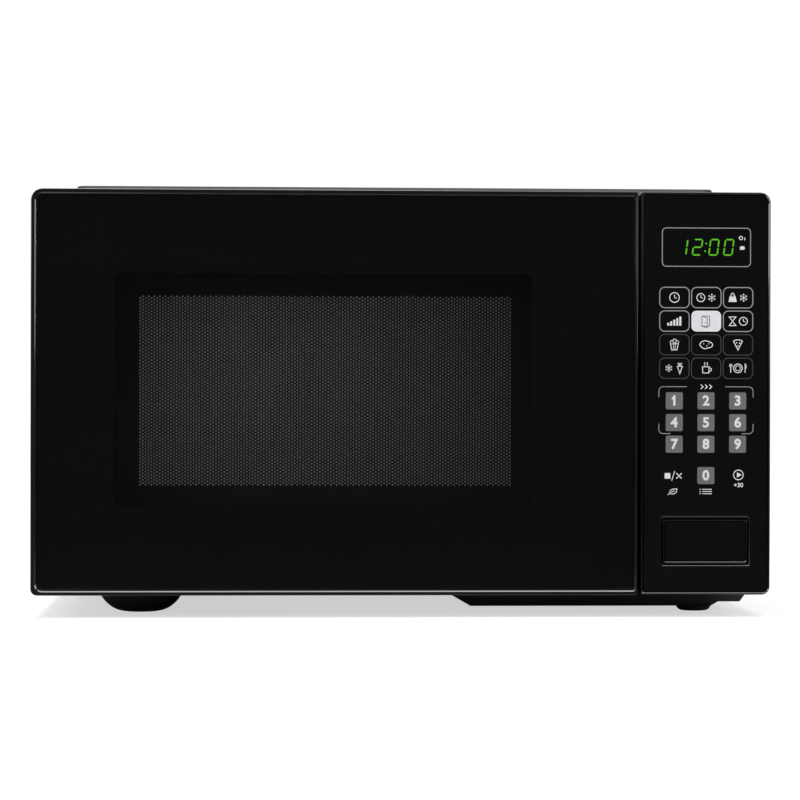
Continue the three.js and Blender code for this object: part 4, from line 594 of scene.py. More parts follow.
ROOF_FIELD = 252.5  # the roof's raised field lies above this height
FIELD_EDGE = (180, 200)  # and its side edges are this far from the middle
FIELD_LEFT, FIELD_RIGHT = 7, 4  # how far each is carried out
PAN_START = 28  # left end of the base's pan, where its slope begins
PAN_SLOPE, FOOT_END = (-1, 24), 6  # where the slope's vertices lie past that, and those of its foot end
SLOPE_FOOT, SLOPE_TOP = 4.5, 2.5  # how far the slope is drawn out at its ends


def cut_back(bm):
    """Takes the front of the door moulding back, to make room for its rim."""
    limit = (door_front + RIM_BACK) * MM
    for v in bm.verts:
        v.co.y = max(v.co.y, limit)


def widen_roof(bm):
    """Carries the roof's raised field a little nearer to the cabinet's sides."""
    for v in bm.verts:
        if v.co.z / MM > ROOF_FIELD and FIELD_EDGE[0] < abs(v.co.x) / MM < FIELD_EDGE[1]:
            v.co.x += (FIELD_RIGHT if v.co.x > 0 else -FIELD_LEFT) * MM


def lead_pan(bm):
    """Draws out the slope at the left end of the base's pan."""
    for v in bm.verts:
        along = v.co.x / MM - PAN_START
        if PAN_SLOPE[0] < along < PAN_SLOPE[1]:
            v.co.x -= (SLOPE_FOOT if along < FOOT_END else SLOPE_TOP) * MM


def edge_ring(name, radii, section):
    """A ring along the edge of a node's front, through points (inset, depth from the panel's face)."""
    front = front_of(name)
    return hoop([
        (inset(front, radii, by, steps=CORNER_STEPS), panel_front + depth) for by, depth in section
    ])


# Cutters: grooves for the polished trims, and square seats for the button's bezel and the film.
PANEL_RADII, BUTTON_RADII, BEZEL_RADII, FILM_RADII = (1.5, 4, 7, 1.5), (2,) * 4, (0.2,) * 4, (2.15,) * 4
FILM_LAP = 0.45  # the film laps the eased edge of its recess
PANEL_GROOVE = ((0.95, -0.2), (1.1, 0.0), (2.0, 0.78), (2.15, 0.0), (2.15, -0.2))
BUTTON_GROOVE = ((0.9, -0.5), (1.05, 0.3), (1.8, 0.96), (1.95, 0.3), (1.95, -0.5))
BEZEL_SEAT = ((-0.46, -0.2), (-0.46, 1.2), (-2.24, 1.2), (-2.24, -0.2))
FILM_SEAT = ((1.0, -0.2), (1.0, 0.3), (-FILM_LAP - 0.02, 0.3), (-FILM_LAP - 0.02, -0.2))
CUTTERS = {
    "control_housing": (
        edge_ring("control_housing", PANEL_RADII, PANEL_GROOVE),
        edge_ring("door_open_button", BEZEL_RADII, BEZEL_SEAT),
        edge_ring("keypad_membrane", FILM_RADII, FILM_SEAT),
    ),
    "door_open_button": (edge_ring("door_open_button", BUTTON_RADII, BUTTON_GROOVE),),
}
for name, width, change, look, slot in (
    ("door_frame", 0.3, cut_back, None, None),
    ("control_housing", 0.35, None, "panel_gloss", None),
    ("door_open_button", 0.5, None, "panel_gloss", None),
    ("outer_cabinet", 0.2, widen_roof, None, None),
    ("base_plate", 0.25, lead_pan, "base_black", "cabinet_paint"),
):
    shell = refined(name, width, change)
    for cutter in CUTTERS.get(name, ()):
        shell = carved(shell, cutter)
    stand_in(name, "shell", shell, look, slot)

# The feet are turned: a wide bowl under the left side, a small pad under the pan. Each is given by the radius
# of its sole and the radius to which the curve of its side is drawn.
BOWL, PAD = (8.3, 21.0), (7.0, 9.6)
BOWL_REACH = 20  # a foot of a larger radius is a bowl
STEM, CLIP = 2.5, 3.4
for name in (n for n in nodes if n.startswith("foot_")):
    fx0, fx1, fy0, fy1, fz0, fz1 = span(name)
    reach = (fx1 - fx0) / 2
    middle = ((fx0 + fx1) / 2, (fy0 + fy1) / 2)
    verts = (v.co / MM for v in nodes[name].data.vertices)
    seat = max(v.z for v in verts if math.hypot(v.x - middle[0], v.y - middle[1]) > reach * 0.9)
    sole, knee = BOWL if reach > BOWL_REACH else PAD
    profile = [(0, 1.2), (2.6, 1.2), (3.2, 0.15), (sole - 0.8, 0.0)]
    profile += bend((sole, 0), (knee, 0), (reach, seat - fz0), steps=10)
    profile += [(STEM, seat), (STEM, fz1 - 3.0), (CLIP, fz1 - 3.0), (2.2, fz1), (0, fz1)]
    stand_in(name, "turned", lathe(profile, middle, steps=48))

WINDOW = within(GLASS, left=45.9, low=49.1, right=61.7, high=46.4)
EASE, EASE_MIDDLE, BACK_EASE, EASE_CUT = 0.5, 0.15, 0.2, 0.1
pane = slab((
    (inset(GLASS, GLASS_RADII, EASE), glass_front),
    (inset(GLASS, GLASS_RADII, EASE_MIDDLE, EASE_CUT), glass_front + EASE_MIDDLE),
    (inset(GLASS, GLASS_RADII, 0), glass_front + EASE),
    (inset(GLASS, GLASS_RADII, 0), glass_back - BACK_EASE),
    (inset(GLASS, GLASS_RADII, BACK_EASE, EASE_CUT), glass_back),
))
new_piece("door_pane", pane, "door", "door_glass", smooth=50, replaces=("door_glass",))

# The rim: an eased outer edge, a flat land, and a chamfer that runs down to the edge of the glass. Points are
# (inset, depth, drop), where the drop leaves a ledge between the chamfer and the lower edge of the glass.
OUTER_EDGE = ((0.0, RIM_BACK), (0.0, 0.5), (0.08, 0.28), (0.22, 0.1), (0.36, 0.02), (0.5, 0.0))
INNER_EDGE = (
    (-0.86, 0.0, 1.1), (-0.8, 0.02, 1.1), (-0.74, 0.07, 1.1), (-0.12, 0.66, 1.1),
    (-0.08, 0.7, 1.0), (-0.04, 0.88, 0), (-0.04, RIM_BACK, 0),
)
loops = [(inset(DOOR, DOOR_RADII, by, steps=CORNER_STEPS), door_front + depth) for by, depth in OUTER_EDGE]
for by, depth, drop in INNER_EDGE:
    opening = within(GLASS, 0, -drop, 0, 0)
    loops.append((inset(opening, GLASS_RADII, by, steps=CORNER_STEPS), door_front + depth))
new_piece("door_rim", hoop(loops), "door", "door_plastic", "rim_gloss", smooth=30)

# Polished trims lie in the grooves of the control panel and its button.
trim = edge_ring("control_housing", PANEL_RADII, ((1.14, 0.0), (1.98, 0.71), (1.98, 1.0), (1.14, 1.0)))
new_piece("panel_trim", trim, "cabinet", "panel_plastic", "rim_gloss", smooth=18)
trim = edge_ring("door_open_button", BUTTON_RADII, ((1.09, 0.3), (1.78, 0.89), (1.78, 1.2), (1.09, 1.2)))
new_piece("button_trim", trim, "button", "panel_plastic", "rim_gloss", smooth=18)

# A slim bead frames the button, in the recess round it.
BEAD = (
    (-2.22, 1.15), (-2.22, 0.0), (-2.12, 0.0), (-1.94, 0.06), (-1.84, 0.2), (-1.8, 0.4), (-1.78, 0.72),
    (-1.26, 0.08), (-1.16, 0.0), (-1.06, 0.0), (-0.96, 0.08), (-0.5, 0.62), (-0.5, 1.15),
)
bezel = edge_ring("door_open_button", BEZEL_RADII, BEAD)
new_piece("button_bezel", bezel, "cabinet", "panel_plastic", "rim_gloss", smooth=18)

# A black mask behind the glass leaves the window free.
MASK_MARGIN, MASK_FRONT, MASK_BACK = 0.6, glass_back + 0.03, glass_back + 0.15
around = outline(*shrunk(GLASS, MASK_MARGIN), radii=3.2, steps=4)
window = outline(*WINDOW, radii=3.0, steps=4)
mask = hoop(((around, MASK_FRONT), (window, MASK_FRONT), (window, MASK_BACK), (around, MASK_BACK)))
new_piece("door_mask", mask, "door", "door_plastic", "mask_black", smooth=0)

# The screen: a field of holes let into a copy of the steel plate.
SCREEN_THICK, SUNK = 0.8, 0.04  # it lies a little inside the faces of the plate
SCREEN_BACK = depths("door_plate")[1]
SCREEN_FRONT = SCREEN_BACK - SCREEN_THICK
HOLE = 0.64  # radius
COLUMN, ROW = 1.69, 1.97
MORE_ROWS, MORE_COLUMNS = 2, 3  # cells without holes, round the field
PAST_SIDES, PAST_ENDS = -0.3, -0.8  # margins of the plate's opening, whose edge runs under those cells
CUT_REACH = 5
FIELD = within(GLASS, left=59.3, low=60.2, right=70.8, high=58.5)
columns = round((FIELD[2] - FIELD[0]) / COLUMN)
rows = round((FIELD[3] - FIELD[1]) / ROW)


def sides_of(points):
    return zip(points, points[1:] + points[:1])


def screen_half(first, last):
    """Cells of the perforated sheet for these columns; cells past the field have no hole."""
    spots, faces, borders = {}, [], {}

    def at(point, y):
        """The number of the vertex there."""
        x, z = point
        key = (round(x, 3), round(y, 3), round(z, 3))
        return spots.setdefault(key, (len(spots), (x * MM, y * MM, z * MM)))[0]

    near = (COLUMN**2 / 2 - ROW**2 / 8) / COLUMN
    far = (COLUMN**2 + ROW**2 / 4) / (2 * COLUMN)
    cell = ((far, 0), (near, ROW / 2), (-near, ROW / 2), (-far, 0), (-near, -ROW / 2), (near, -ROW / 2))
    front, back = SCREEN_FRONT + SUNK, SCREEN_BACK - SUNK
    for c in range(first, last):
        for r in range(-MORE_ROWS, rows + MORE_ROWS):
            x = FIELD[0] + (c + 0.5) * COLUMN
            z = FIELD[1] + (r + 0.5 + (0.25 if c % 2 else -0.25)) * ROW
            outer = [(x + u, z + v) for u, v in cell]
            if 0 <= c < columns and 0 <= r < rows:
                for (a, b), (d, e) in zip(sides_of(outer), sides_of(circle(x, z, HOLE, steps=6))):
                    faces.append([at(a, front), at(b, front), at(e, front), at(d, front)])
                    faces.append([at(d, back), at(e, back), at(b, back), at(a, back)])
                    faces.append([at(d, front), at(e, front), at(e, back), at(d, back)])
            else:
                faces.append([at(p, front) for p in outer])
                faces.append([at(p, back) for p in outer][::-1])
            for side in sides_of(outer):
                borders.setdefault(frozenset((round(x, 3), round(z, 3)) for x, z in side), []).append(side)
    for cells in borders.values():
        if len(cells) == 1:
            a, b = cells[0]
            faces.append([at(b, front), at(a, front), at(a, back), at(b, back)])
    mesh = bpy.data.meshes.new("screen")
    mesh.from_pydata([place for _, place in spots.values()], [], faces)
    mesh.update()
    return mesh


half = columns // 2
new_piece("screen_left", screen_half(-MORE_COLUMNS, half), "door", "screen_paint", smooth=0)
new_piece("screen_right", screen_half(half, columns + MORE_COLUMNS), "door", "screen_paint", smooth=0)

opening = within(FIELD, PAST_SIDES, PAST_ENDS, PAST_SIDES, PAST_ENDS)
opening = box_mesh(opening, SCREEN_FRONT - CUT_REACH, SCREEN_BACK + CUT_REACH)
plate = carved(from_bmesh(node_copy("door_plate"), 1), opening)
new_piece("door_plate_pressing", plate, "door", "screen_paint", smooth=35, replaces=("door_plate",))

# ---- control panel prints

MEMBRANE = front_of("keypad_membrane")
FILM_RADIUS, FILM_DEPTH = 2.6, 0.18
membrane_front = depths("keypad_membrane")[0]
FILM_FRONT = membrane_front + 0.06
INK = membrane_front + 0.02
INK_BACK = FILM_FRONT + 0.05
CENTRE = (MEMBRANE[0] + MEMBRANE[2]) / 2 + 0.2
TOP = MEMBRANE[3]

film = shrunk(MEMBRANE, -FILM_LAP)
pad = slab([
    (inset(film, (FILM_RADIUS,) * 4, by), FILM_FRONT + depth)
    for by, depth in ((0.05, 0), (0.015, 0.015), (0, 0.05), (0, FILM_DEPTH))
])
new_piece("keypad_film", pad, "cabinet", "key_film", smooth=50, replaces=("keypad_membrane",))

inks = {tone: bmesh.new() for tone in INKS}
SHIFTS = {"shade": -0.02, "tile": 0.02}  # how much deeper than the other inks these lie


def line(tone, points, width, closed=False):
    ribbon(inks[tone], points, width, INK + SHIFTS.get(tone, 0), INK_BACK, closed)


def area(tone, points):
    front = INK + SHIFTS.get(tone, 0)
    lofted(inks[tone], rings_at(inks[tone], ((points, front), (points, INK_BACK))))


def key_shape(x, z, width, height, radius):
    return outline(x - width / 2, z - height / 2, x + width / 2, z + height / 2, radius)


DISPLAY = (CENTRE - 26.5, TOP - 39.6, CENTRE + 26.5, TOP - 16.7)
line("pale", outline(*DISPLAY, 2.4), 0.55, True)

# Four rows of picture keys: the first two with pale frames, the others dim, and one key white all over.
KEY, WHITE_KEY = (17.7, 12.2, 3.0), (17.8, 12.4, 3.0)
KEY_PITCH, KEY_ROW, FIRST_ROW = 19.1, 14.05, 58.2
key_x = [CENTRE - KEY_PITCH, CENTRE, CENTRE + KEY_PITCH]
key_z = [TOP - FIRST_ROW - KEY_ROW * i for i in range(4)]
for r, z in enumerate(key_z):
    for c, x in enumerate(key_x):
        if (r, c) == (1, 1):
            area("key", key_shape(x, z, *WHITE_KEY))
        else:
            line("pale" if r < 2 else "dim", key_shape(x, z, *KEY), 0.6, True)

NUMBER_TILE = (10.2, 10.2, 1.0)
NUMBER_PITCH = 19.05
NUMBER_ROWS = (119.8, 132.8, 145.7, 164.4)
num_x = [CENTRE - NUMBER_PITCH, CENTRE, CENTRE + NUMBER_PITCH]
tiles = [(x, TOP - down) for down in NUMBER_ROWS[:3] for x in num_x] + [(num_x[1], TOP - NUMBER_ROWS[3])]
for x, z in tiles:
    area("tile", key_shape(x, z, *NUMBER_TILE))


def numeral(text, x, z, size, heavy=0.02):
    """Raised white text about a middle; heavy is how much its strokes are widened."""
    curve = bpy.data.curves.new("numeral", "FONT")
    curve.body = text
    curve.size = size
    curve.align_x, curve.align_y = "CENTER", "CENTER"
    curve.offset = heavy * size
    curve.extrude = 0.03
    curve.resolution_u = 4
    holder = bpy.data.objects.new("numeral", curve)
    bpy.context.scene.collection.objects.link(holder)
    graph = bpy.context.evaluated_depsgraph_get()
    mesh = bpy.data.meshes.new_from_object(holder.evaluated_get(graph))
    bpy.data.objects.remove(holder)
    mesh.transform(Matrix.Translation((x, INK + 0.02, z)) @ Matrix.Rotation(QUARTER, 4, "X"))
    inks["white"].from_mesh(mesh)
    bpy.data.meshes.remove(mesh)


for (x, z), number in zip(tiles, "1234567890"):
    numeral(number, x, z - 0.15, size=8.2, heavy=0.035)
    if number == "1":  # its flag
        line("white", [(x + 0.3, z + 2.2), (x - 1.5, z + 1.1)], 1.3)

# A bracket takes in the first six numbers.
BRACKET, BEND, BRACKET_LINE = 28.3, 2.5, 0.45  # half its width, the radius of its bends, its line
bracket_top, bracket_foot = TOP - 111.4, TOP - 139.4
for side in (-1, 1):
    edge = CENTRE + side * BRACKET
    arc = circle(edge - side * BEND, bracket_top - BEND, BEND, 5, QUARTER, -side * QUARTER)
    line("pale", [(CENTRE + side * 11.5, bracket_top)] + arc + [(edge, bracket_top - 6.3)], BRACKET_LINE)
for side in (-1, 1):
    edge = CENTRE + side * BRACKET
    start = QUARTER - side * QUARTER
    arc = circle(edge - side * BEND, bracket_foot + BEND, BEND, 5, start, -side * QUARTER)
    line("pale", [(edge, bracket_foot + 5.9)] + arc + [(edge - side * 7, bracket_foot)], BRACKET_LINE)

# ---- pictures on the keys

# Each is drawn about its middle (x, z), within about 5 mm of it.


def stroke(x, z, points, width=0.5, tone="white", closed=False):
    line(tone, [(x + a, z + b) for a, b in points], width, closed)


def loop(x, z, points):
    stroke(x, z, points, closed=True)


def round_line(x, z, r, steps, width=0.5):
    line("white", circle(x, z, r, steps), width, True)


def patch(x, z, points):
    area("white", [(x + a, z + b) for a, b in points])


def dot(x, z, r, tone="white"):
    area(tone, circle(x, z, r, 10))


def clock(x, z, r=2.4):
    round_line(x, z, r, 24)
    stroke(x, z, [(0, r * 0.62), (0, 0), (r * 0.5, -r * 0.15)], 0.45)


def snow(x, z, r=2.4):
    for k in range(3):
        a = QUARTER + k * math.pi / 3
        c, s = math.cos(a), math.sin(a)
        stroke(x, z, [(-r * c, -r * s), (r * c, r * s)], 0.42)
        for end in (-1, 1):
            for side in (-1, 1):
                b = a + side * math.pi / 4
                px, pz = end * 0.62 * r * c, end * 0.62 * r * s
                twig = (px + end * 0.32 * r * math.cos(b), pz + end * 0.32 * r * math.sin(b))
                stroke(x, z, [(px, pz), twig], 0.34)


def weight(x, z):
    patch(x, z, [(-2.5, -2.5), (2.5, -2.5), (1.7, 1.1), (-1.7, 1.1)])
    round_line(x, z + 1.7, 0.95, 16)


def bars(x, z):
    for k in range(5):
        left, top = -4.3 + 1.8 * k, -1.1 + 0.95 * k
        patch(x, z, [(left, -2.7), (left + 1.2, -2.7), (left + 1.2, top), (left, top)])


def open_door(x, z):
    stroke(x, z, [(-2.6, -3), (-2.6, 3), (2.0, 3), (2.0, -3)], 0.45, "shade", True)
    stroke(x, z, [(-2.6, 3), (0.6, 1.9), (0.6, -4.0), (-2.6, -3)], 0.45, "shade")
    dot(x - 0.4, z - 0.8, 0.4, "shade")


def hourglass(x, z):
    loop(x, z, [(-2, 2.6), (2, 2.6), (-2, -2.6), (2, -2.6)])


def popcorn(x, z):
    loop(x, z, [(-2.3, 0.5), (-1.6, -3.1), (1.6, -3.1), (2.3, 0.5)])
    stroke(x, z, [(-0.6, 0.2), (-0.4, -2.8)], 0.35)
    stroke(x, z, [(0.6, 0.2), (0.4, -2.8)], 0.35)
    for a, b, r in ((-1.5, 1.5, 0.95), (0.1, 2.2, 1.1), (1.6, 1.5, 0.9)):
        round_line(x + a, z + b, r, 14, 0.42)


def potato(x, z):
    points = []
    for a, b in circle(0, 0, 1, 28):
        t = math.atan2(b, a)
        points.append((3.6 * a * (1 + 0.08 * math.cos(2 * t + 0.6)), 2.3 * b * (1 + 0.1 * math.cos(3 * t))))
    loop(x, z, points)
    for a, b in ((-1.5, 0.5), (0.4, -0.7), (1.6, 0.6)):
        dot(x + a, z + b, 0.33)


def slice_of(x, z):
    turns = (-0.95 + 1.9 * i / 8 for i in range(9))
    loop(x, z, [(3.3 * math.sin(t), 2.1 + 0.9 * math.cos(t * 1.6)) for t in turns] + [(0, -3.1)])
    for a, b in ((-0.9, 1.2), (1.0, 1.0), (0.0, -0.7)):
        dot(x + a, z + b, 0.42)


def carrot(x, z):
    loop(x, z, [(-1.5, 1.1), (1.5, 1.1), (0, -3.3)])
    for a in (-1.2, 0, 1.2):
        stroke(x, z, [(a * 0.2, 1.3), (a, 3.2)], 0.42)


def mug(x, z):
    loop(x, z, [(-2.2, 0.9), (-2.0, -2.8), (1.6, -2.8), (1.8, 0.9)])
    stroke(x, z, [(1.8, 0.2), (3.1, -0.1), (3.0, -1.6), (1.7, -1.9)], 0.45)
    for a in (-1.1, 0.5):
        stroke(x, z, [(a, 1.7), (a + 0.4, 2.3), (a, 2.9), (a + 0.4, 3.5)], 0.38)


def dish(x, z):
    round_line(x, z, 2.6, 24)
    round_line(x, z, 1.5, 20, 0.35)
    stroke(x, z, [(-4.3, -2.6), (-4.3, 2.6)])
    stroke(x, z, [(-5.0, 2.6), (-5.0, 1.0), (-3.6, 1.0), (-3.6, 2.6)], 0.35)
    stroke(x, z, [(4.3, -2.6), (4.3, 2.6), (5.0, 1.6), (4.9, 0.0), (4.3, -0.2)], 0.42)


BESIDE = 3.3  # two pictures share a key at this distance from its middle
for picture, column, row, shift, *radius in (
    (clock, 0, 0, 0, 2.9), (clock, 1, 0, -BESIDE), (snow, 1, 0, BESIDE),
    (weight, 2, 0, -BESIDE), (snow, 2, 0, BESIDE),
    (bars, 0, 1, 0), (open_door, 1, 1, 0), (hourglass, 2, 1, -BESIDE), (clock, 2, 1, 3.2),
    (popcorn, 0, 2, 0), (potato, 1, 2, 0), (slice_of, 2, 2, 0),
    (snow, 0, 3, -BESIDE, 2.2), (carrot, 0, 3, BESIDE), (mug, 1, 3, 0), (dish, 2, 3, 0),
):
    picture(key_x[column] + shift, key_z[row], *radius)

# Three arrows stand over the number keys.
for k in range(3):
    stroke(CENTRE - 3.2 + 2.6 * k, bracket_top, [(0, 1.3), (1.4, 0), (0, -1.3)])

# Beside the last number: stop and clear with a leaf below, a list below the number, and start.
SIDE_KEY = 19.6
stop_x, start_x, last_z = CENTRE - SIDE_KEY, CENTRE + SIDE_KEY, TOP - 164.6
below_z = last_z - 9.3
patch(stop_x - 3.4, last_z, [(-1.7, -1.7), (1.7, -1.7), (1.7, 1.7), (-1.7, 1.7)])
stroke(stop_x, last_z, [(-0.9, -2.8), (0.9, 2.8)], 0.45)
stroke(stop_x + 3.5, last_z, [(-1.6, -1.6), (1.6, 1.6)], 0.6)
stroke(stop_x + 3.5, last_z, [(-1.6, 1.6), (1.6, -1.6)], 0.6)
leaf = [(-2.2, -1.0), (-1.6, 0.7), (0.2, 1.5), (2.3, 1.5), (2.0, -0.3), (0.6, -1.4), (-1.2, -1.5)]
stroke(stop_x, below_z, leaf, 0.45, closed=True)
stroke(stop_x, below_z, [(-3.2, -1.9), (0.9, 0.6)], 0.4)
for k in range(3):
    z = below_z + 1.3 - 1.3 * k
    dot(CENTRE - 3.4, z, 0.35)
    stroke(CENTRE, z, [(-2.2, 0), (3.6, 0)], 0.45)
round_line(start_x, last_z + 0.6, 2.9, 26)
patch(start_x + 0.3, last_z + 0.6, [(-1.2, -1.6), (1.8, 0), (-1.2, 1.6)])
numeral("+30", start_x, last_z - 5.6, size=3.6)

# Two small marks stand beside the digits of the display.
mid_x, mid_z = (DISPLAY[0] + DISPLAY[2]) / 2, (DISPLAY[1] + DISPLAY[3]) / 2
round_line(mid_x + 20.7, mid_z + 5.6, 1.0, 16)
stroke(mid_x + 23.0, mid_z + 5.2, [(0, -0.9), (0, 0.7)])
mark = [(-1.5, -1.0), (1.0, -1.0), (1.6, 0.0), (1.0, 1.0), (-0.4, 1.2), (-1.5, 0.8)]
patch(mid_x + 21.6, mid_z - 0.4, mark)

# The display's digits have seven slanted segments.
SEGMENTS = {"1": "bc", "2": "abged", "0": "abcdef"}
DIGITS = ((-14.3, "1"), (-5.4, "2"), (4.5, "0"), (13.4, "0"))
HALF_WIDTH, HALF_HEIGHT = 2.5, 4.6
BAR, GAP, LEAN = 0.86, 0.22, 0.13


def segment(x, z, a, b):
    """One lit bar from a to b, pointed at both ends and leaning with the digit."""
    a, b = Vector(a), Vector(b)
    along = (b - a).normalized()
    across = Vector((-along.y, along.x)) * BAR / 2
    a, b = a + along * GAP, b - along * GAP
    tip = along * BAR / 2
    corners = (a, a + tip - across, b - tip - across, b, b - tip + across, a + tip + across)
    area("lit", [(x + p.x + LEAN * p.y, z + p.y) for p in corners])


def lit_digit(x, z, which):
    w, h = HALF_WIDTH, HALF_HEIGHT
    ends = {
        "a": ((-w, h), (w, h)), "b": ((w, 0), (w, h)), "c": ((w, -h), (w, 0)), "d": ((-w, -h), (w, -h)),
        "e": ((-w, -h), (-w, 0)), "f": ((-w, 0), (-w, h)), "g": ((-w, 0), (w, 0)),
    }
    for letter in SEGMENTS[which]:
        segment(x, z, *ends[letter])


for offset, which in DIGITS:
    lit_digit(mid_x + offset, mid_z, which)
for rise in (-2.3, 2.3):
    dot(mid_x - 0.5 + LEAN * rise, mid_z + rise, 0.5, "lit")

for tone, bm in inks.items():
    bmesh.ops.remove_doubles(bm, verts=bm.verts, dist=PRINT_SEAM)
    new_piece(f"print_{tone}", outward(bm), "cabinet", "key_film", f"ink_{tone}", smooth=0)

# ---- rear, turntable and small parts

rx0, rx1, _, rear, rz0, rz1 = span("rear_panel")
REAR_FACE = depths("outer_cabinet")[1]  # the sheet's outer face, between the pressed spacers
SPACERS = ((-183.4, 75.5), (-183.4, 214.0), (183.4, 214.0))
SPACER_TOP, SPACER_SINK = 5, 0.6


def press_in(bm):
    """Sets the faceted spacers back, under the round ones that cover them."""
    for v in bm.verts:
        if v.co.y / MM > REAR_FACE + SPACER_TOP:
            v.co.y -= SPACER_SINK * MM


sheet = refined("rear_panel", 0.15, press_in)
new_piece("rear_panel_sheet", sheet, "cabinet", "zinc_sheet", smooth=50, replaces=("rear_panel",))
profile = [(0, REAR_FACE - 0.3), (14.6, REAR_FACE - 0.3), (14.2, REAR_FACE + 0.15), (12.4, REAR_FACE + 0.7)]
profile = softened(profile + [(8.3, rear), (0, rear)], radius=1.4)
bm = bmesh.new()
for x, z in SPACERS:
    about_y(bm, profile, x, z)
new_piece("rear_spacers", outward(bm), "cabinet", "zinc_sheet", smooth=50)

# A screw's domed head with a cross slot is made once and copied to its places, each turned another way.
SLOT_REACH, SLOT, SLOT_DEPTH = 2.1, 0.42, (1.0, 3.0)  # half its length and width, and its span along y
HEAD = (
    (0, -0.2), (4.6, -0.2), (4.5, 0.35), (3.7, 0.5), (3.6, 0.9),
    (3.0, 1.6), (1.9, 2.1), (0.7, 2.3), (0, 2.35),
)
SCREWS = (
    (rx0 + 10, rz1 - 14), (rx1 - 10, rz1 - 14), (rx0 + 10, rz0 + 16), (rx1 - 10, rz0 + 16),
    (-40, rz1 - 8), (-40, rz0 + 9),
)
bm = bmesh.new()
about_y(bm, HEAD, 0, 0, steps=28)
head = outward(bm)
head = carved(head, box_mesh((-SLOT_REACH, -SLOT, SLOT_REACH, SLOT), *SLOT_DEPTH))
head = carved(head, box_mesh((-SLOT, -SLOT_REACH, SLOT, SLOT_REACH), *SLOT_DEPTH))
bm = bmesh.new()
for k, (x, z) in enumerate(SCREWS):
    copy = head.copy()
    place = Matrix.Translation(Vector((x, REAR_FACE, z)) * MM)
    copy.transform(place @ Matrix.Rotation(0.5 + 0.9 * k, 4, "Y"))
    bm.from_mesh(copy)
    bpy.data.meshes.remove(copy)
new_piece("rear_screws", from_bmesh(bm, 1), "cabinet", "steel", smooth=35)

# The glass tray: the CAD dish in finer steps, two pressed rings, and three lugs that the coupler turns.
tx0, tx1, ty0, ty1, tz0, tz1 = span("glass_tray")
TRAY_DEPTH, GLASS_THICK, RING_RISE = 11, 4, 0.8
tray_r, base = (tx1 - tx0) / 2, tz1 - TRAY_DEPTH
floor_z = base + GLASS_THICK
middle = ((tx0 + tx1) / 2, (ty0 + ty1) / 2)
profile = [(0, base), (tray_r - 18, base), (tray_r - 8, base + 3), (tray_r, tz1 - 1.5), (tray_r - 1, tz1)]
profile += [(tray_r - 3, tz1 - 0.5), (tray_r - 11, base + 6), (tray_r - 19, floor_z)]
for r in (tray_r - 34, tray_r - 80):
    profile += [(r + 2, floor_z), (r, floor_z + RING_RISE), (r - 2, floor_z)]
profile += [(0, floor_z)]

LUG_CIRCLE, LUG = 19, ((2.6, tz0), (3.3, tz0 + 0.3), (3.5, tz0 + 1), (3.5, base + 0.5))
lugs = bmesh.new()
for k in range(3):
    a = FULL_TURN * k / 3 + math.pi / 3
    x, y = middle[0] + LUG_CIRCLE * math.cos(a), middle[1] + LUG_CIRCLE * math.sin(a)
    lofted(lugs, [[lugs.verts.new((*spot, z)) for spot in circle(x, y, r, 20)] for r, z in LUG])
both = bmesh.new()
both.from_mesh(lathe(softened(profile, radius=3.0), middle, steps=96))
both.from_mesh(outward(lugs))
tray = from_bmesh(both, 1)
new_piece("glass_tray_pressing", tray, "tray", "tray_glass", smooth=60, replaces=("glass_tray",))

for name, width in (
    ("choke_cover", 0.3), ("latch_hook", 0.45), ("roller_ring", 0.35), ("turntable_coupler", 0.4),
    ("front_plate", 0.15), ("roller_1", 0.4), ("roller_2", 0.4), ("roller_3", 0.4), ("inlet_grommet", 0.35),
    ("upper_hinge", 0.2), ("lower_hinge", 0.2),
):
    stand_in(name, "shell", refined(name, width))

# ---- stage, lights, camera


def grey(level):
    return (level, level, level)


def floor_material():
    """A pale floor with the object's soft shadow, in metres. It looks white to the camera.

    Glossy rays see it dim ahead of the object, and bright in a ring beside and behind it.
    """
    s = Shader(bpy.data.materials.new("floor"))
    rays = s.add("LightPath").outputs
    place = s.add("TexCoord").outputs["Object"]
    away = s.add("VectorMath", operation="LENGTH")
    s.link(place, away, 0)
    away = away.outputs["Value"]
    axes = s.add("SeparateXYZ")
    s.link(place, axes, 0)

    near = s.ranged(away, (0.45, 1.0), (1, 0))
    ahead = s.ranged(axes.outputs["Y"], (-0.15, -0.26))
    shade = s.mixed(near, grey(0.2), grey(0.55))
    dim = s.maths("MULTIPLY", rays["Is Glossy Ray"], ahead)
    matt = s.add("BsdfDiffuse")
    s.link(s.mixed(dim, shade, grey(0.075)), matt, "Color")

    ring = s.maths("MULTIPLY", s.ranged(away, (0.24, 0.3)), s.ranged(away, (0.42, 0.62), (0.75, 0)))
    gleam = s.maths("MULTIPLY", rays["Is Glossy Ray"], ring)
    gleam = s.maths("MULTIPLY", gleam, s.ranged(ahead, (0, 1), (1, 0)))
    seen = s.maths("MAXIMUM", rays["Is Camera Ray"], rays["Is Transmission Ray"])
    white = s.maths("MULTIPLY", seen, s.ranged(near, (0, 1), (1.0, 0.6)))
    shine = s.add("Emission")
    s.link(s.maths("ADD", white, gleam), shine, "Strength")

    both = s.add("AddShader")
    s.link(matt.outputs["BSDF"], both, 0)
    s.link(shine.outputs["Emission"], both, 1)
    s.link(both.outputs["Shader"], s.add("OutputMaterial"), "Surface")
    return s.owner


mesh = bpy.data.meshes.new("floor")
mesh.from_pydata([(-3, -1.2, 0), (3, -1.2, 0), (3, 3, 0), (-3, 3, 0)], [], [(0, 1, 2, 3)])
mesh.materials.append(floor_material())
floor = bpy.data.objects.new("floor", mesh)
bpy.context.scene.collection.objects.link(floor)

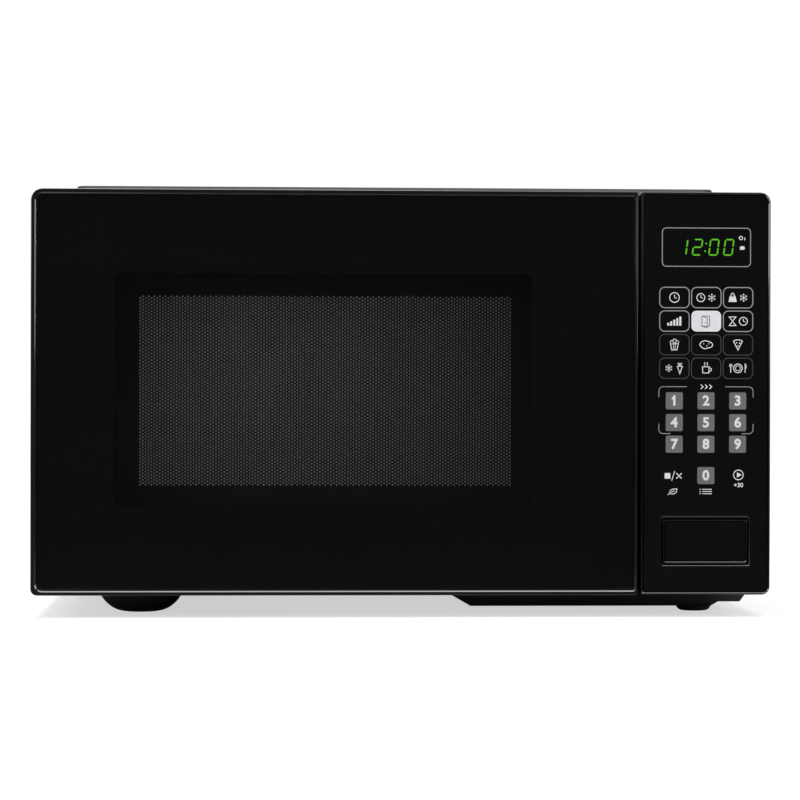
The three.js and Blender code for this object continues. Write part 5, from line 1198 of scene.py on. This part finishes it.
# The world is white to the camera, dim to the object, and bright behind it to glossy rays.
s = Shader(bpy.data.worlds.new("studio"))
bpy.context.scene.world = s.owner
rays = s.add("LightPath").outputs
axes = s.add("SeparateXYZ")
s.link(s.add("TexCoord").outputs["Generated"], axes, 0)
seen = s.maths("MAXIMUM", rays["Is Camera Ray"], rays["Is Transmission Ray"])
behind = s.ranged(axes.outputs["Y"], (0.05, 0.7), (0, 0.6))
clear = s.maths("MAXIMUM", seen, s.maths("MULTIPLY", behind, rays["Is Glossy Ray"]))
room = s.add("Background", {"Color": (0.93, 0.96, 1.0, 1)})
s.link(s.ranged(rays["Is Glossy Ray"], (0, 1), (0.3, 0.1)), room, "Strength")
white = s.add("Background", {"Color": (1, 1, 1, 1)})
mix = s.add("MixShader")
s.link(clear, mix, 0)
s.link(room.outputs["Background"], mix, 1)
s.link(white.outputs["Background"], mix, 2)
s.link(mix.outputs["Shader"], s.add("OutputWorld"), "Surface")


def softbox(name, place, aim, size, power):
    light = bpy.data.lights.new(name, "AREA")
    light.shape = "RECTANGLE"
    light.size, light.size_y = size
    light.energy = power
    lamp = bpy.data.objects.new(name, light)
    lamp.location = place
    lamp.rotation_euler = (Vector(aim) - Vector(place)).to_track_quat("-Z", "Y").to_euler()
    bpy.context.scene.collection.objects.link(lamp)
    return lamp


softbox("top", (0.1, -0.5, 1.9), (0, 0, 0.2), (1.8, 1.0), 26)
softbox("left", (-1.7, -1.1, 0.9), (0, 0, 0.15), (0.9, 1.3), 22)
softbox("right", (1.7, -0.8, 0.8), (0, 0, 0.15), (0.9, 1.3), 16)
softbox("rear", (-0.5, 1.3, 2.0), (0, 0, 0.15), (1.4, 0.8), 24)

# The oven's own lamp gives a soft light in the cavity.
ox0, ox1, oy0, _, oz0, oz1 = span("cavity")
place, aim = Vector((ox0 + 130, oy0 + 90, oz1 - 12)), Vector(((ox0 + ox1) / 2, 40, oz0))
lamp = softbox("oven_lamp", place * MM, aim * MM, (0.2, 0.16), 0.42)
lamp.visible_camera = lamp.visible_glossy = False

FRONT = panel_front * MM
DISTANCE, YAW, ROLL = 1.697, math.radians(3.0), math.radians(0.14)
HEIGHT, AIM_X, AIM_Z = 0.137, -0.0018, 0.1295
camera_data = bpy.data.cameras.new("camera")
camera_data.sensor_width = 36
camera_data.lens = 128.65
camera = bpy.data.objects.new("camera", camera_data)
camera.location = (-DISTANCE * math.sin(YAW), FRONT - DISTANCE * math.cos(YAW), HEIGHT)
look = (Vector((AIM_X, FRONT, AIM_Z)) - camera.location).to_track_quat("-Z", "Y")
camera.rotation_euler = (look.to_matrix() @ Matrix.Rotation(ROLL, 3, "Z")).to_euler()
bpy.context.scene.collection.objects.link(camera)
bpy.context.scene.camera = camera
bpy.context.scene.view_settings.view_transform = "Standard"
